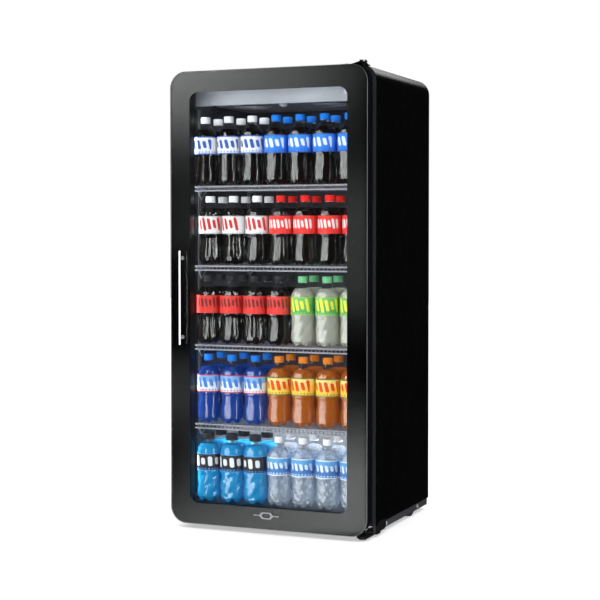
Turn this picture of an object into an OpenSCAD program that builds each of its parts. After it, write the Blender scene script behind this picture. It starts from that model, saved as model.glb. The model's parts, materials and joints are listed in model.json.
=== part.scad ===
// Glass-door beverage cooler: a foamed steel cabinet with a frameless glass door hinged on the right,
// four wire shelves, a ceiling evaporator with two fans, and a condensing unit in the lower rear.
// X runs across, Y runs back from the door to the rear, Z runs up from the feet.

/* [Door] */
// Width of the door
door_w = 632; // [600:1:700]
// Height of the door
door_h = 1360; // [1300:5:1420]
// Radius of the door's outer corners
corner_r = 50; // [44:1:56]
// Thickness of one pane of glass
pane_t = 4; // [3:0.5:5]
// Gap between the two panes
pane_gap = 11; // [9:1:14]
// Depth of the frame behind the panes
frame_t = 35; // [30:1:40]
// Depth of the gasket
gasket_t = 10; // [8:1:12]
// Width of the black border round the window
border_w = 63; // [58:1:70]
// Radius of the window's corners
window_r = 27; // [15:1:35]
// Length of the handle bar
handle_len = 282; // [200:2:500]
// Height of the middle of the handle bar
handle_z = 697; // [500:1:800]
// Distance from the door's edge to the handle bar's axis
handle_in = 41; // [30:1:50]
// How far the handle bar stands out from the glass
handle_proud = 24; // [20:1:40]

/* [Cabinet] */
// Depth from the front of the glass to the back of the cabinet
body_d = 587; // [560:1:640]
// Thickness of the insulated walls
wall_t = 38; // [36:1:42]
// Depth of the front collar
collar_d = 20; // [15:1:25]
// Height of the interior floor
floor_z = 70; // [66:1:80]
// Height of the cabinet's lower edge
side_z = 36; // [34:1:38]
// Height of the door's lower edge
door_z = 15; // [15:1:18]

/* [Shelves] */
// Height of the lowest shelf's wires
shelf_low = 312; // [305:1:320]
// Distance from one shelf to the next
shelf_pitch = 241.3; // [228.6:12.7:241.3]
// Distance between the shelf wires
wire_pitch = 16.5; // [14:0.5:20]
// Thickness of a thin shelf wire
wire_t = 3; // [2.5:0.5:4]
// Thickness of a shelf's edge rod
rod_t = 6; // [5:0.5:7]

/* [Hinge] */
// Distance from the door's edge to the hinge axis
hinge_in = 24; // [22:1:25]
// Distance from the glass front back to the hinge axis
hinge_back = 30; // [29:1:31]
// Radius of the hinge pins
pin_r = 5; // [4:0.5:6]

/* [Hidden] */
$fn = 64;

skin_t = 1.2;
liner_t = 1;
gap = 0.3;
pack_t = 2 * pane_t + pane_gap;
total_d = body_d + handle_proud;
glass_y = handle_proud - total_d / 2;
frame_y = glass_y + pack_t;
gasket_y = frame_y + frame_t;
cab_y = gasket_y + gasket_t;
wrap_y = cab_y + collar_d;
back_y = glass_y + body_d;
door_top = door_z + door_h;
cab_w = door_w - 4;
cab_top = door_top + 6;
inner_x = door_w / 2 - wall_t;
inner_back = back_y - wall_t;
ceil_z = door_top - 3 - wall_t;
hinge_x = door_w / 2 - hinge_in;
hinge_y = glass_y + hinge_back;
bush_r = pin_r + 3;
machine_x = inner_x + 6;
machine_y = back_y - 187;
machine_top = 236;
hump_y = machine_y - 30;
hump_z = machine_top + 30;
header_z = ceil_z - 55;
cover_z = header_z + 9;
header_y = glass_y + 94;
pilaster_ys = [glass_y + 118, glass_y + 480];
shelf_front = cab_y + 3;
shelf_back = glass_y + 520;
shelf_x = inner_x - 10;
evap_fan_x = 130;
evap_fan_y = glass_y + 200;
evap_fan_r = 58;
coil_y = glass_y + 320;
cond_fan_x = 150;
cond_fan_z = 132;
cond_fan_r = 74;
cond_y = machine_y + 16;
shroud_y = cond_y + 62;
knob_x = 0;
knob_y = header_y + 35;
switch_x = -215;
switch_y = header_y + 8;
switch_z = header_z + 3;
rail_x0 = 276;
rail_x1 = 310;
rail_z0 = 14;
foot_x = 288;
foot_front = glass_y + 142;
foot_rear = glass_y + 445;
plate_z = cab_top;
plate_t = 3;
comp_x = -165;
comp_y = machine_y + 98;
comp_z = side_z + skin_t + 14;
comp_r = 72;
foot_spots = [for (x = [-72, 72], y = [-50, 50]) [comp_x + x, comp_y + y]];
fin_count = 24;
fin_pitch = 8;
fin_t = 0.8;
tube_r = 4.7;
cond_x0 = cond_fan_x - 98;
cond_x1 = cond_fan_x + 98;
tube_ys = [cond_y + 14, cond_y + 40];
tube_rise = 44;
tube_zs = [for (i = [0:3]) 62 + tube_rise * i];
inlet_x = -255;
inlet_z = 62;
clip_top = rod_t + wire_t - 0.5;
screw_spots = [for (x = [-74, -42], y = [10, 30]) [hinge_x + x, wrap_y + y]];
tab_y1 = foot_front - 24;
frame_in = 4;
frame_w = 50;
gasket_w = 12;
handle_x = -door_w / 2 + handle_in;
handle_r = 4;
post_r = 2.5;
post_z = handle_len / 2 - 22;
bar_y = glass_y - handle_proud + handle_r;

// A box given by its two corners
module block(x0, x1, y0, y1, z0, z1)
    translate([x0, y0, z0]) cube([x1 - x0, y1 - y0, z1 - z0]);

// Stands a flat outline up, from y0 back to y1, with its base at height z0
module upright(y0, y1, z0)
    translate([0, y1, z0]) rotate([90, 0, 0]) linear_extrude(y1 - y0) children();

// A rectangle centred on X and standing on it, with four round corners
module round_rect(w, h, r) {
    translate([-w / 2 + r, 0]) square([w - 2 * r, h]);
    translate([-w / 2, r]) square([w, h - 2 * r]);
    for (x = [-w / 2 + r, w / 2 - r], y = [r, h - r])
        translate([x, y]) circle(r);
}

// A rectangle centred on X and standing on it, with two round upper corners
module arch(w, h, r) {
    translate([-w / 2 + r, 0]) square([w - 2 * r, h]);
    translate([-w / 2, 0]) square([w, h - r]);
    for (x = [-w / 2 + r, w / 2 - r])
        translate([x, h - r]) circle(r);
}

// The outline of a door layer, drawn in from the door's edge by inset
module door_outline(inset, r)
    translate([0, inset]) round_rect(door_w - 2 * inset, door_h - 2 * inset, r);

// A ring of a door layer between two insets
module door_ring(y0, y1, outer, outer_r, inner, inner_r)
    upright(y0, y1, door_z) difference() {
        door_outline(outer, outer_r);
        door_outline(inner, inner_r);
    }

// The cabinet's outline, drawn in by inset
module cabinet_outline(inset)
    arch(cab_w - 2 * inset, cab_top - side_z - inset, corner_r - 2 - inset);

// The cold space, from y0 to the back wall and over the hump, grown by t on every wall
module cold_space(y0, t)
    difference() {
        block(-inner_x - t, inner_x + t, y0, inner_back + t, floor_z - t, ceil_z + t);
        block(-inner_x - 9, inner_x + 9, hump_y + t, inner_back + 9, 0, hump_z - t);
    }

// A straight round rod between two heights
module rod_z(x, y, z0, z1, r)
    translate([x, y, z0]) cylinder(z1 - z0, r, r);

// A straight round rod that runs back from y0 to y1
module rod_y(x, z, y0, y1, r)
    translate([x, y1, z]) rotate([90, 0, 0]) cylinder(y1 - y0, r, r);

// A straight round rod that runs across from x0 to x1
module rod_x(y, z, x0, x1, r)
    translate([x0, y, z]) rotate([0, 90, 0]) cylinder(x1 - x0, r, r);

// ---- Cabinet ----

module outer_wrap() color([0.01, 0.01, 0.012])
    upright(wrap_y, back_y, side_z) difference() {
        cabinet_outline(0);
        translate([0, -1]) arch(cab_w - 2 * skin_t, cab_top - side_z - skin_t + 1, corner_r - 2 - skin_t);
    }

module foam_core() color([0.86, 0.8, 0.6])
    difference() {
        upright(wrap_y, back_y - skin_t, side_z) difference() {
            cabinet_outline(skin_t);
            translate([-cab_w / 2, -1]) square([cab_w, 1 + skin_t]);
        }
        cold_space(wrap_y - 1, liner_t);
        block(-machine_x, machine_x, machine_y, back_y, side_z - 1, machine_top);
    }

module inner_liner() color([0.02, 0.02, 0.024])
    difference() {
        cold_space(wrap_y, liner_t);
        cold_space(wrap_y - 1, 0);
    }

module rear_panel() color([0.55, 0.56, 0.57])
    upright(back_y - skin_t, back_y, side_z) difference() {
        cabinet_outline(skin_t);
        translate([-cab_w / 2, -1]) square([cab_w, 1 + skin_t]);
        translate([-machine_x, -1]) square([2 * machine_x, machine_top - side_z + 1]);
    }

module front_collar() color([0.03, 0.03, 0.045])
    upright(cab_y, wrap_y, side_z) difference() {
        cabinet_outline(2);
        translate([-inner_x, floor_z - side_z]) square([2 * inner_x, ceil_z - floor_z]);
    }

module bottom_panel() color([0.5, 0.51, 0.52])
    block(-cab_w / 2 + skin_t, cab_w / 2 - skin_t, wrap_y, back_y, side_z, side_z + skin_t);

module base_rails() color([0.12, 0.12, 0.13])
    for (side = [-1, 1])
        difference() {
            block(min(side * rail_x0, side * rail_x1), max(side * rail_x0, side * rail_x1),
                cab_y + 14, back_y - 4, rail_z0, side_z);
            block(side > 0 ? rail_x0 - 1 : -rail_x1 + 2, side > 0 ? rail_x1 - 2 : -rail_x0 + 1,
                cab_y + 13, back_y, rail_z0 + 2, side_z - 2);
            for (y = [foot_front, foot_rear])
                rod_z(side * foot_x, y, rail_z0 - 1, rail_z0 + 3, 6 + gap);
        }

module base_crossbars() color([0.14, 0.14, 0.15])
    for (y = [cab_y + 34, back_y - 60])
        difference() {
            block(-rail_x0, rail_x0, y, y + 26, rail_z0 + 4, side_z);
            block(-rail_x0 - 1, rail_x0 + 1, y + 2, y + 24, rail_z0, side_z - 2);
        }

module rail_bolts() color([0.72, 0.72, 0.72])
    for (side = [-1, 1], y = [glass_y + 182, glass_y + 482])
        rod_x(y, 25, side > 0 ? rail_x1 : -rail_x1 - 4, side > 0 ? rail_x1 + 4 : -rail_x1, 6);

// ---- Condensing unit in the lower rear ----

// Half of the shell's side view: a straight wall with an elliptical dome above and below
function shell_side(r, h, dome) = concat(
    [for (a = [-90:15:0]) [r * cos(a), dome + dome * sin(a)]],
    [for (a = [0:15:90]) [r * cos(a), h - dome + dome * sin(a)]]);

module compressor() color([0.02, 0.02, 0.02]) {
    translate([comp_x, comp_y, comp_z + 2]) rotate_extrude()
        polygon(concat([[0, 0]], shell_side(comp_r, 158, 34), [[0, 158]]));
    difference() {
        block(comp_x - 84, comp_x + 84, comp_y - 62, comp_y + 62, comp_z, comp_z + 3);
        for (p = foot_spots)
            rod_z(p[0], p[1], comp_z - 1, comp_z + 4, 5);
    }
    block(comp_x + comp_r - 6, comp_x + comp_r + 18, comp_y - 24, comp_y + 24, comp_z + 55, comp_z + 105);
}

module compressor_grommets() color([0.05, 0.05, 0.05])
    for (p = foot_spots)
        rod_z(p[0], p[1], side_z + skin_t, comp_z, 11);

module condenser_fins() color([0.75, 0.76, 0.77])
    for (i = [0:fin_count - 1])
        translate([cond_x0 + i * fin_pitch, 0, 0]) rotate([90, 0, 90]) linear_extrude(fin_t) difference() {
            translate([cond_y, 44]) square([54, 168]);
            for (z = tube_zs, y = tube_ys)
                translate([y, z]) circle(tube_r + gap);
        }

// The coil's straight runs and the half-round bends that join them at its ends
module condenser_tube() color([0.72, 0.4, 0.24]) {
    for (z = tube_zs, y = tube_ys)
        rod_x(y, z, cond_x0 - 6, cond_x1 + 6, tube_r);
    for (z = tube_zs)
        translate([cond_x0 - 6, (tube_ys[0] + tube_ys[1]) / 2, z]) rotate([0, 0, 90])
            rotate_extrude(angle = 180) translate([(tube_ys[1] - tube_ys[0]) / 2, 0]) circle(tube_r);
    for (i = [0:2])
        translate([cond_x1 + 6, tube_ys[i % 2], tube_zs[i] + tube_rise / 2]) rotate([90, 0, 0])
            rotate([0, 0, -90]) rotate_extrude(angle = 180) translate([tube_rise / 2, 0]) circle(tube_r);
}

// The fan's shroud, with an end plate each side that carries the coil's tubes
module condenser_shroud() color([0.6, 0.61, 0.62]) {
    difference() {
        block(cond_x0 - 2, cond_x1 + 2, shroud_y, shroud_y + 22, side_z + skin_t, 224);
        rod_y(cond_fan_x, cond_fan_z, shroud_y - 1, shroud_y + 23, cond_fan_r + 4);
    }
    for (x = [cond_x0 - 2, cond_x1])
        translate([x, 0, 0]) rotate([90, 0, 90]) linear_extrude(2) difference() {
            translate([cond_y, side_z + skin_t]) square([shroud_y - cond_y, 180]);
            for (z = tube_zs, y = tube_ys)
                translate([y, z]) circle(tube_r);
        }
}

module condenser_fan_motor() color([0.1, 0.1, 0.11]) {
    rod_y(cond_fan_x, cond_fan_z, shroud_y + 30, shroud_y + 66, 30);
    rod_y(cond_fan_x, cond_fan_z, shroud_y + 14, shroud_y + 31, 3);
    for (side = [-1, 1])
        translate([cond_fan_x, 0, cond_fan_z]) rotate([0, side * 90, 0])
            block(-6, 6, shroud_y + 30, shroud_y + 33, 28, 96);
    for (side = [-1, 1])
        block(cond_fan_x + side * 92 - 4, cond_fan_x + side * 92 + 4, shroud_y + 22, shroud_y + 31,
            cond_fan_z - 6, cond_fan_z + 6);
}

// A fan of pitched blades on a hub, spinning about Z, with a bore for its shaft
module fan(r, hub_r, h, blades, bore)
    difference() {
        union() {
            cylinder(h, hub_r, hub_r);
            for (i = [0:blades - 1])
                rotate([0, 0, i * 360 / blades]) translate([hub_r - 2, 0, h / 2]) rotate([28, 0, 0])
                    translate([0, -hub_r * 0.95, -0.8]) cube([r - hub_r - 2, hub_r * 1.9, 1.6]);
        }
        translate([0, 0, -1]) cylinder(h * 0.7 + 1, bore, bore);
    }

module condenser_fan() color([0.68, 0.69, 0.7])
    translate([cond_fan_x, shroud_y + 22, cond_fan_z]) rotate([90, 0, 0])
        fan(cond_fan_r, 18, 18, 5, 3.06);

module filter_drier() color([0.72, 0.4, 0.24])
    translate([8, machine_y + 34, 88]) rotate_extrude()
        polygon([[0, -26], [3, -26], [11, -10], [11, 76], [3, 92], [0, 92]]);

module drain_pan() color([0.1, 0.1, 0.1])
    difference() {
        block(-66, 46, machine_y + 66, back_y - 14, side_z + skin_t, side_z + 46);
        block(-64, 44, machine_y + 68, back_y - 16, side_z + skin_t + 2, side_z + 47);
    }

// Copper lines: each is a chain of straight runs square to one another
module refrigerant_lines() color([0.72, 0.4, 0.24]) {
    rod_z(comp_x + 30, comp_y - 84, comp_z + 96, machine_top - 8, 4);
    rod_y(comp_x + 30, comp_z + 96, comp_y - 84, comp_y - 62, 4);
    rod_x(machine_y + 8, machine_top - 20, comp_x - 60, 40, 3);
    rod_z(40, machine_y + 8, 90, machine_top - 17, 3);
}

module rear_grille() color([0.05, 0.05, 0.05])
    upright(back_y - skin_t, back_y, 0) difference() {
        translate([-machine_x + gap, side_z + skin_t])
            square([2 * (machine_x - gap), machine_top - side_z - skin_t - gap]);
        for (i = [0:10], x = [-180, -60, 60, 180])
            translate([x - 50, side_z + 24 + i * 15]) square([100, 6]);
        translate([inlet_x, inlet_z]) circle(9);
    }

module power_inlet() color([0.04, 0.04, 0.04])
    translate([inlet_x, back_y - skin_t - 8, inlet_z]) rotate([-90, 0, 0]) difference() {
        union() {
            cylinder(8 + skin_t, 9, 9);
            cylinder(8, 13, 13);
        }
        translate([0, 0, -1]) cylinder(12 + skin_t, 5, 5);
    }

// ---- Inside the cold space ----

// A front plate with a lip turned back under it, slotted for the light switch between two ears
module header_panel() color([0.66, 0.67, 0.71])
    difference() {
        union() {
            block(-inner_x + 1, inner_x - 1, header_y, header_y + 1.5, header_z, ceil_z);
            block(-inner_x + 1, inner_x - 1, header_y + 1, header_y + 16, header_z, header_z + 1.5);
            for (side = [-1, 1])
                block(switch_x + side * 8 - 1, switch_x + side * 8 + 1, switch_y - 4, switch_y + 4,
                    header_z + 1, header_z + 6);
        }
        block(switch_x - 7, switch_x + 7, header_y + 2, header_y + 14.5, header_z - 1, header_z + 2);
        rod_x(switch_y, switch_z, switch_x - 10, switch_x + 10, 1.05);
    }

module temperature_display() color([0.95, 0.95, 0.96])
    block(209, 224, header_y - 3, header_y, header_z + 19, header_z + 35);

module evaporator_cover() color([0.55, 0.56, 0.6])
    difference() {
        union() {
            block(-inner_x + 2, inner_x - 2, header_y + 16, glass_y + 500, cover_z, cover_z + 1.2);
            block(-inner_x + 2, inner_x - 2, glass_y + 498.8, glass_y + 500, cover_z, cover_z + 20);
            block(-inner_x + 2, inner_x - 2, header_y + 16, header_y + 17.2, header_z, ceil_z);
        }
        for (side = [-1, 1])
            rod_z(side * evap_fan_x, evap_fan_y, cover_z - 1, cover_z + 2, evap_fan_r + 5);
        block(knob_x - 16, knob_x + 16, knob_y - 14, knob_y + 14, cover_z - 1, cover_z + 2);
    }

module evaporator_coil() color([0.7, 0.71, 0.73]) {
    for (i = [0:33])
        translate([-200 + i * 12, 0, 0]) rotate([90, 0, 90]) linear_extrude(0.8) difference() {
            translate([coil_y, cover_z + 5]) square([140, 36]);
            for (y = [20:25:120], z = [12, 24])
                translate([coil_y + y, cover_z + 5 + z]) circle(4.5);
        }
    for (y = [20:25:120], z = [12, 24])
        rod_x(coil_y + y, cover_z + 5 + z, -206, 206, 4.2);
    for (x = [-208, 206])
        block(x, x + 2, coil_y - 2, coil_y + 142, cover_z + skin_t, ceil_z);
}

// Rings and spokes of each fan's guard, stepped down like a dome
module evap_fan_guards() color([0.6, 0.61, 0.65])
    for (side = [-1, 1])
        translate([side * evap_fan_x, evap_fan_y, 0]) {
            for (i = [0:4])
                translate([0, 0, cover_z - 3 - (i < 4 ? 8 : 0)]) rotate_extrude()
                    translate([12 + i * 13, 0]) square([2.6, 2.6]);
            for (a = [0:60:120])
                rotate([0, 0, a]) block(-58, 58, -1.3, 1.3, cover_z - 9, cover_z - 6.4);
            for (a = [0:60:300])
                rotate([0, 0, a]) block(56, 66.5, -1.3, 1.3, cover_z - 9, cover_z);
        }

module evap_fan_motors() color([0.12, 0.12, 0.13])
    for (side = [-1, 1])
        translate([side * evap_fan_x, evap_fan_y, 0]) {
            rod_z(0, 0, ceil_z - 20, ceil_z, 24);
            rod_z(0, 0, ceil_z - 34, ceil_z - 19, 2.5);
        }

module evap_fan(side) color([0.16, 0.16, 0.17])
    translate([side * evap_fan_x, evap_fan_y, ceil_z - 39]) translate([0, 0, 16]) mirror([0, 0, 1])
        fan(evap_fan_r, 14, 16, 5, 2.56);

module drain_tube() color([0.03, 0.03, 0.03]) {
    rod_z(215, inner_back - 9, hump_z + 30, cover_z + 10, 7);
    rod_y(215, hump_z + 30, inner_back - 9, inner_back, 7);
}

module led_strips() color([0.1, 0.1, 0.12])
    for (side = [-1, 1])
        block(side > 0 ? inner_x - 4 : -inner_x, side > 0 ? inner_x : -inner_x + 4,
            wrap_y + 1, wrap_y + 12, floor_z + 22, header_z - 9);

// One slotted standard, with a slot every inch for the shelf clips
module pilasters() color([0.45, 0.46, 0.48])
    for (side = [-1, 1], y = pilaster_ys)
        translate([side > 0 ? inner_x - 4 : -inner_x, y - 8, 0]) rotate([90, 0, 90]) linear_extrude(4)
            difference() {
                translate([0, hump_z + 8]) square([16, header_z - hump_z - 18]);
                for (z = [shelf_low - 23:25.4:header_z - 26])
                    translate([5.5, z]) square([5, 14]);
            }

module shelf_clips() color([0.7, 0.71, 0.73])
    for (i = [0:3], side = [-1, 1], y = pilaster_ys) {
        z = shelf_low + i * shelf_pitch - clip_top - gap;
        translate([0, y - 6, 0]) {
            block(side > 0 ? shelf_x - rod_t - 2 : -inner_x + 4, side > 0 ? inner_x - 4 : -shelf_x + rod_t + 2,
                0, 12, z - 3, z);
            block(side > 0 ? inner_x - 6 : -inner_x + 4, side > 0 ? inner_x - 4 : -inner_x + 6,
                0, 12, z - 16, z + 4);
        }
    }

module thermostat_housing() color([0.3, 0.3, 0.32])
    difference() {
        block(knob_x - 16, knob_x + 16, knob_y - 14, knob_y + 14, cover_z - 4, cover_z + 26);
        rod_z(knob_x, knob_y, cover_z - 5, cover_z + 10, 3 + 0.06);
    }

module thermostat_knob() color([0.85, 0.85, 0.87]) {
    rod_z(knob_x, knob_y, cover_z - 6, cover_z + 8, 3);
    rod_z(knob_x, knob_y, cover_z - 15, cover_z - 5, 12);
    block(knob_x - 1.5, knob_x + 1.5, knob_y - 11.5, knob_y + 11.5, cover_z - 18, cover_z - 14);
}

// A rocker that tips about a thin pin across its middle
module light_switch() color([0.05, 0.05, 0.05]) {
    translate([switch_x - 6, switch_y, switch_z]) rotate([90, 0, 90]) linear_extrude(12)
        polygon([[-4.5, 1.5], [4.5, 1.5], [4.5, -4.5], [0, -5.5], [-4.5, -8]]);
    rod_x(switch_y, switch_z, switch_x - 9, switch_x + 9, 1);
}

// ---- Hinges ----

module top_hinge_bracket() color([0.03, 0.03, 0.03])
    translate([0, 0, plate_z]) linear_extrude(plate_t) difference() {
        union() {
            translate([hinge_x, hinge_y]) circle(13);
            translate([hinge_x - 86, wrap_y - 4]) square([74, 44]);
            hull() {
                translate([hinge_x - 4, hinge_y]) circle(9);
                translate([hinge_x - 24, wrap_y + 20]) circle(14);
                translate([hinge_x - 60, wrap_y + 20]) circle(14);
            }
        }
        translate([hinge_x, hinge_y]) circle(pin_r);
        for (p = screw_spots)
            translate(p) circle(3);
    }

module hinge_screws() color([0.6, 0.6, 0.6])
    for (p = screw_spots) {
        rod_z(p[0], p[1], cab_top - 14, plate_z + plate_t, 3);
        rod_z(p[0], p[1], plate_z + plate_t, plate_z + plate_t + 3.5, 5.5);
    }

module top_hinge_pin() color([0.5, 0.5, 0.52]) {
    rod_z(hinge_x, hinge_y, door_top - 39, plate_z + plate_t, pin_r);
    rod_z(hinge_x, hinge_y, plate_z + plate_t, plate_z + plate_t + 4, 10.5);
}

module lower_hinge_bracket() color([0.03, 0.03, 0.03]) {
    translate([0, 0, rail_z0 - 6]) linear_extrude(6) difference() {
        union() {
            translate([hinge_x, hinge_y]) circle(17);
            translate([hinge_x - 17, hinge_y]) square([34, tab_y1 - hinge_y]);
            translate([hinge_x, wrap_y + 6]) square([cab_w / 2 + 2 - hinge_x, tab_y1 - wrap_y - 6]);
        }
        translate([hinge_x, hinge_y]) circle(pin_r);
    }
    block(cab_w / 2, cab_w / 2 + 2, wrap_y + 6, tab_y1, rail_z0 - 1, rail_z0 + 8);
    // Side plate, its lower part against the rail and its upper part against the cabinet's side
    translate([cab_w / 2, 0, 0]) rotate([90, 0, 90]) linear_extrude(2) side_plate_outline();
    translate([rail_x1, 0, 0]) rotate([90, 0, 90]) linear_extrude(cab_w / 2 - rail_x1) intersection() {
        side_plate_outline();
        translate([cab_y, 0]) square([200, side_z]);
    }
}

module side_plate_outline()
    polygon([[wrap_y + 6, rail_z0], [wrap_y + 74, rail_z0], [wrap_y + 86, rail_z0 + 12],
        [wrap_y + 78, rail_z0 + 30], [wrap_y + 26, rail_z0 + 30], [wrap_y + 6, rail_z0 + 18]]);

module lower_hinge_pin() color([0.5, 0.5, 0.52]) {
    rod_z(hinge_x, hinge_y, rail_z0 - 6, door_z + 44, pin_r);
    rod_z(hinge_x, hinge_y, rail_z0 - 10, rail_z0 - 6, 12);
}

// ---- Door ----

module outer_glass() color([0.3, 0.34, 0.36, 0.35])
    upright(glass_y, glass_y + pane_t, door_z) door_outline(0, corner_r);

module glass_border() color([0.01, 0.01, 0.01])
    door_ring(glass_y + pane_t, glass_y + pane_t + 1, 1, corner_r - 1, border_w, window_r);

module glass_spacer() color([0.02, 0.02, 0.02])
    door_ring(glass_y + pane_t + 1, glass_y + pane_t + pane_gap, 8, corner_r - 8, border_w - 1, window_r + 1);

module inner_glass() color([0.3, 0.34, 0.36, 0.35])
    upright(glass_y + pane_t + pane_gap, frame_y, door_z) door_outline(8, corner_r - 8);

module door_frame() color([0.02, 0.02, 0.025])
    difference() {
        door_ring(frame_y, gasket_y, frame_in, corner_r - frame_in, frame_in + frame_w, 6);
        rod_z(hinge_x, hinge_y, door_top - 44, door_top + 1, bush_r);
        rod_z(hinge_x, hinge_y, door_z - 1, door_z + 49, bush_r);
        rod_z(hinge_x, hinge_y, door_z + 48, door_z + 176, bush_r - 2);
    }

module gasket() color([0.03, 0.03, 0.03])
    upright(gasket_y, cab_y - gap, 0) difference() {
        translate([-inner_x - 1 - gasket_w, floor_z - 1 - gasket_w])
            square([2 * (inner_x + 1 + gasket_w), ceil_z - floor_z + 2 * (1 + gasket_w)]);
        translate([-inner_x - 1, floor_z - 1]) square([2 * (inner_x + 1), ceil_z - floor_z + 2]);
    }

module handle_bar() color([0.9, 0.9, 0.9])
    difference() {
        rod_z(handle_x, bar_y, handle_z - handle_len / 2, handle_z + handle_len / 2, handle_r);
        for (side = [-1, 1])
            rod_y(handle_x, handle_z + side * post_z, bar_y, bar_y + 5, post_r);
    }

module handle_posts() color([0.8, 0.8, 0.8])
    for (side = [-1, 1])
        translate([0, 0, side * post_z]) {
            rod_y(handle_x, handle_z, bar_y, glass_y, post_r);
            rod_y(handle_x, handle_z, glass_y - 3, glass_y, 6);
        }

// A plain lozenge with a bar through it
module badge() color([0.8, 0.8, 0.82])
    upright(glass_y - 1.2, glass_y, 56) difference() {
        union() {
            translate([-41, -1.5]) square([82, 3]);
            translate([-24, 0]) polygon([[0, 0], [10, 10], [38, 10], [48, 0], [38, -10], [10, -10]]);
        }
        translate([-18, 0]) polygon([[3, 0], [8.5, 6.5], [27.5, 6.5], [33, 0], [27.5, -6.5], [8.5, -6.5]]);
    }

module hinge_bushes() color([0.08, 0.08, 0.08])
    difference() {
        union() {
            rod_z(hinge_x, hinge_y, door_top - 44, plate_z - gap, bush_r - 0.05);
            rod_z(hinge_x, hinge_y, door_top - 3.5, plate_z - gap, 10);
            rod_z(hinge_x, hinge_y, rail_z0 + gap, door_z + 48, bush_r - 0.05);
        }
        rod_z(hinge_x, hinge_y, 0, door_top + 20, pin_r + 0.05);
    }

module closer_torsion_bar() color([0.5, 0.5, 0.5])
    rod_z(hinge_x, hinge_y, door_z + 50, door_z + 176, bush_r - 3);

// ---- Shelves ----

// A welded wire shelf with its wires' top at z: edge rods, cross rods, wires that run back and turn
// down at the front, and the two rods of the front lip
module shelf(z) color([0.62, 0.62, 0.68]) {
    wire_count = floor((2 * shelf_x - 2 * rod_t) / wire_pitch);
    wire_x0 = -wire_count * wire_pitch / 2;
    for (i = [0:wire_count]) {
        x = wire_x0 + i * wire_pitch;
        block(x - wire_t / 2, x + wire_t / 2, shelf_front, shelf_back, z - wire_t, z);
        block(x - wire_t / 2, x + wire_t / 2, shelf_front, shelf_front + wire_t, z - 18, z - 1);
    }
    for (side = [-1, 1])
        block(side * (shelf_x - rod_t / 2) - rod_t / 2, side * (shelf_x - rod_t / 2) + rod_t / 2,
            shelf_front + 1, shelf_back, z - clip_top, z - wire_t + 0.5);
    for (y = [shelf_front + 1, (shelf_front + shelf_back) / 2, shelf_back - rod_t])
        block(-shelf_x, shelf_x, y, y + rod_t, z - clip_top, z - wire_t + 0.5);
    block(-shelf_x, shelf_x, shelf_front + 1, shelf_front + 5, z - 19, z - 15);
}

// ---- Levelling feet ----

module levelling_foot(x, y) color([0.08, 0.08, 0.09]) {
    translate([x, y, 0]) cylinder(rail_z0 - gap, 16, 22);
    rod_z(x, y, rail_z0 - 1, side_z - 2 - gap, 6);
}

outer_wrap();
foam_core();
inner_liner();
rear_panel();
front_collar();
bottom_panel();
base_rails();
base_crossbars();
rail_bolts();
compressor();
compressor_grommets();
condenser_fins();
condenser_tube();
condenser_shroud();
condenser_fan_motor();
filter_drier();
drain_pan();
refrigerant_lines();
rear_grille();
power_inlet();
header_panel();
temperature_display();
evaporator_cover();
evaporator_coil();
evap_fan_guards();
evap_fan_motors();
drain_tube();
led_strips();
pilasters();
shelf_clips();
thermostat_housing();
top_hinge_bracket();
top_hinge_pin();
hinge_screws();
lower_hinge_bracket();
lower_hinge_pin();
outer_glass();
glass_border();
glass_spacer();
inner_glass();
door_frame();
gasket();
handle_bar();
handle_posts();
badge();
hinge_bushes();
closer_torsion_bar();
shelf(shelf_low);  // shelf_1
shelf(shelf_low + shelf_pitch);  // shelf_2
shelf(shelf_low + 2 * shelf_pitch);  // shelf_3
shelf(shelf_low + 3 * shelf_pitch);  // shelf_4
evap_fan(-1);  // evap_fan_left
evap_fan(1);  // evap_fan_right
condenser_fan();
thermostat_knob();
light_switch();
levelling_foot(-foot_x, foot_front);  // foot_front_left
levelling_foot(foot_x, foot_front);  // foot_front_right
levelling_foot(-foot_x, foot_rear);  // foot_rear_left
levelling_foot(foot_x, foot_rear);  // foot_rear_right
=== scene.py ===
import json
import math

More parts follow.
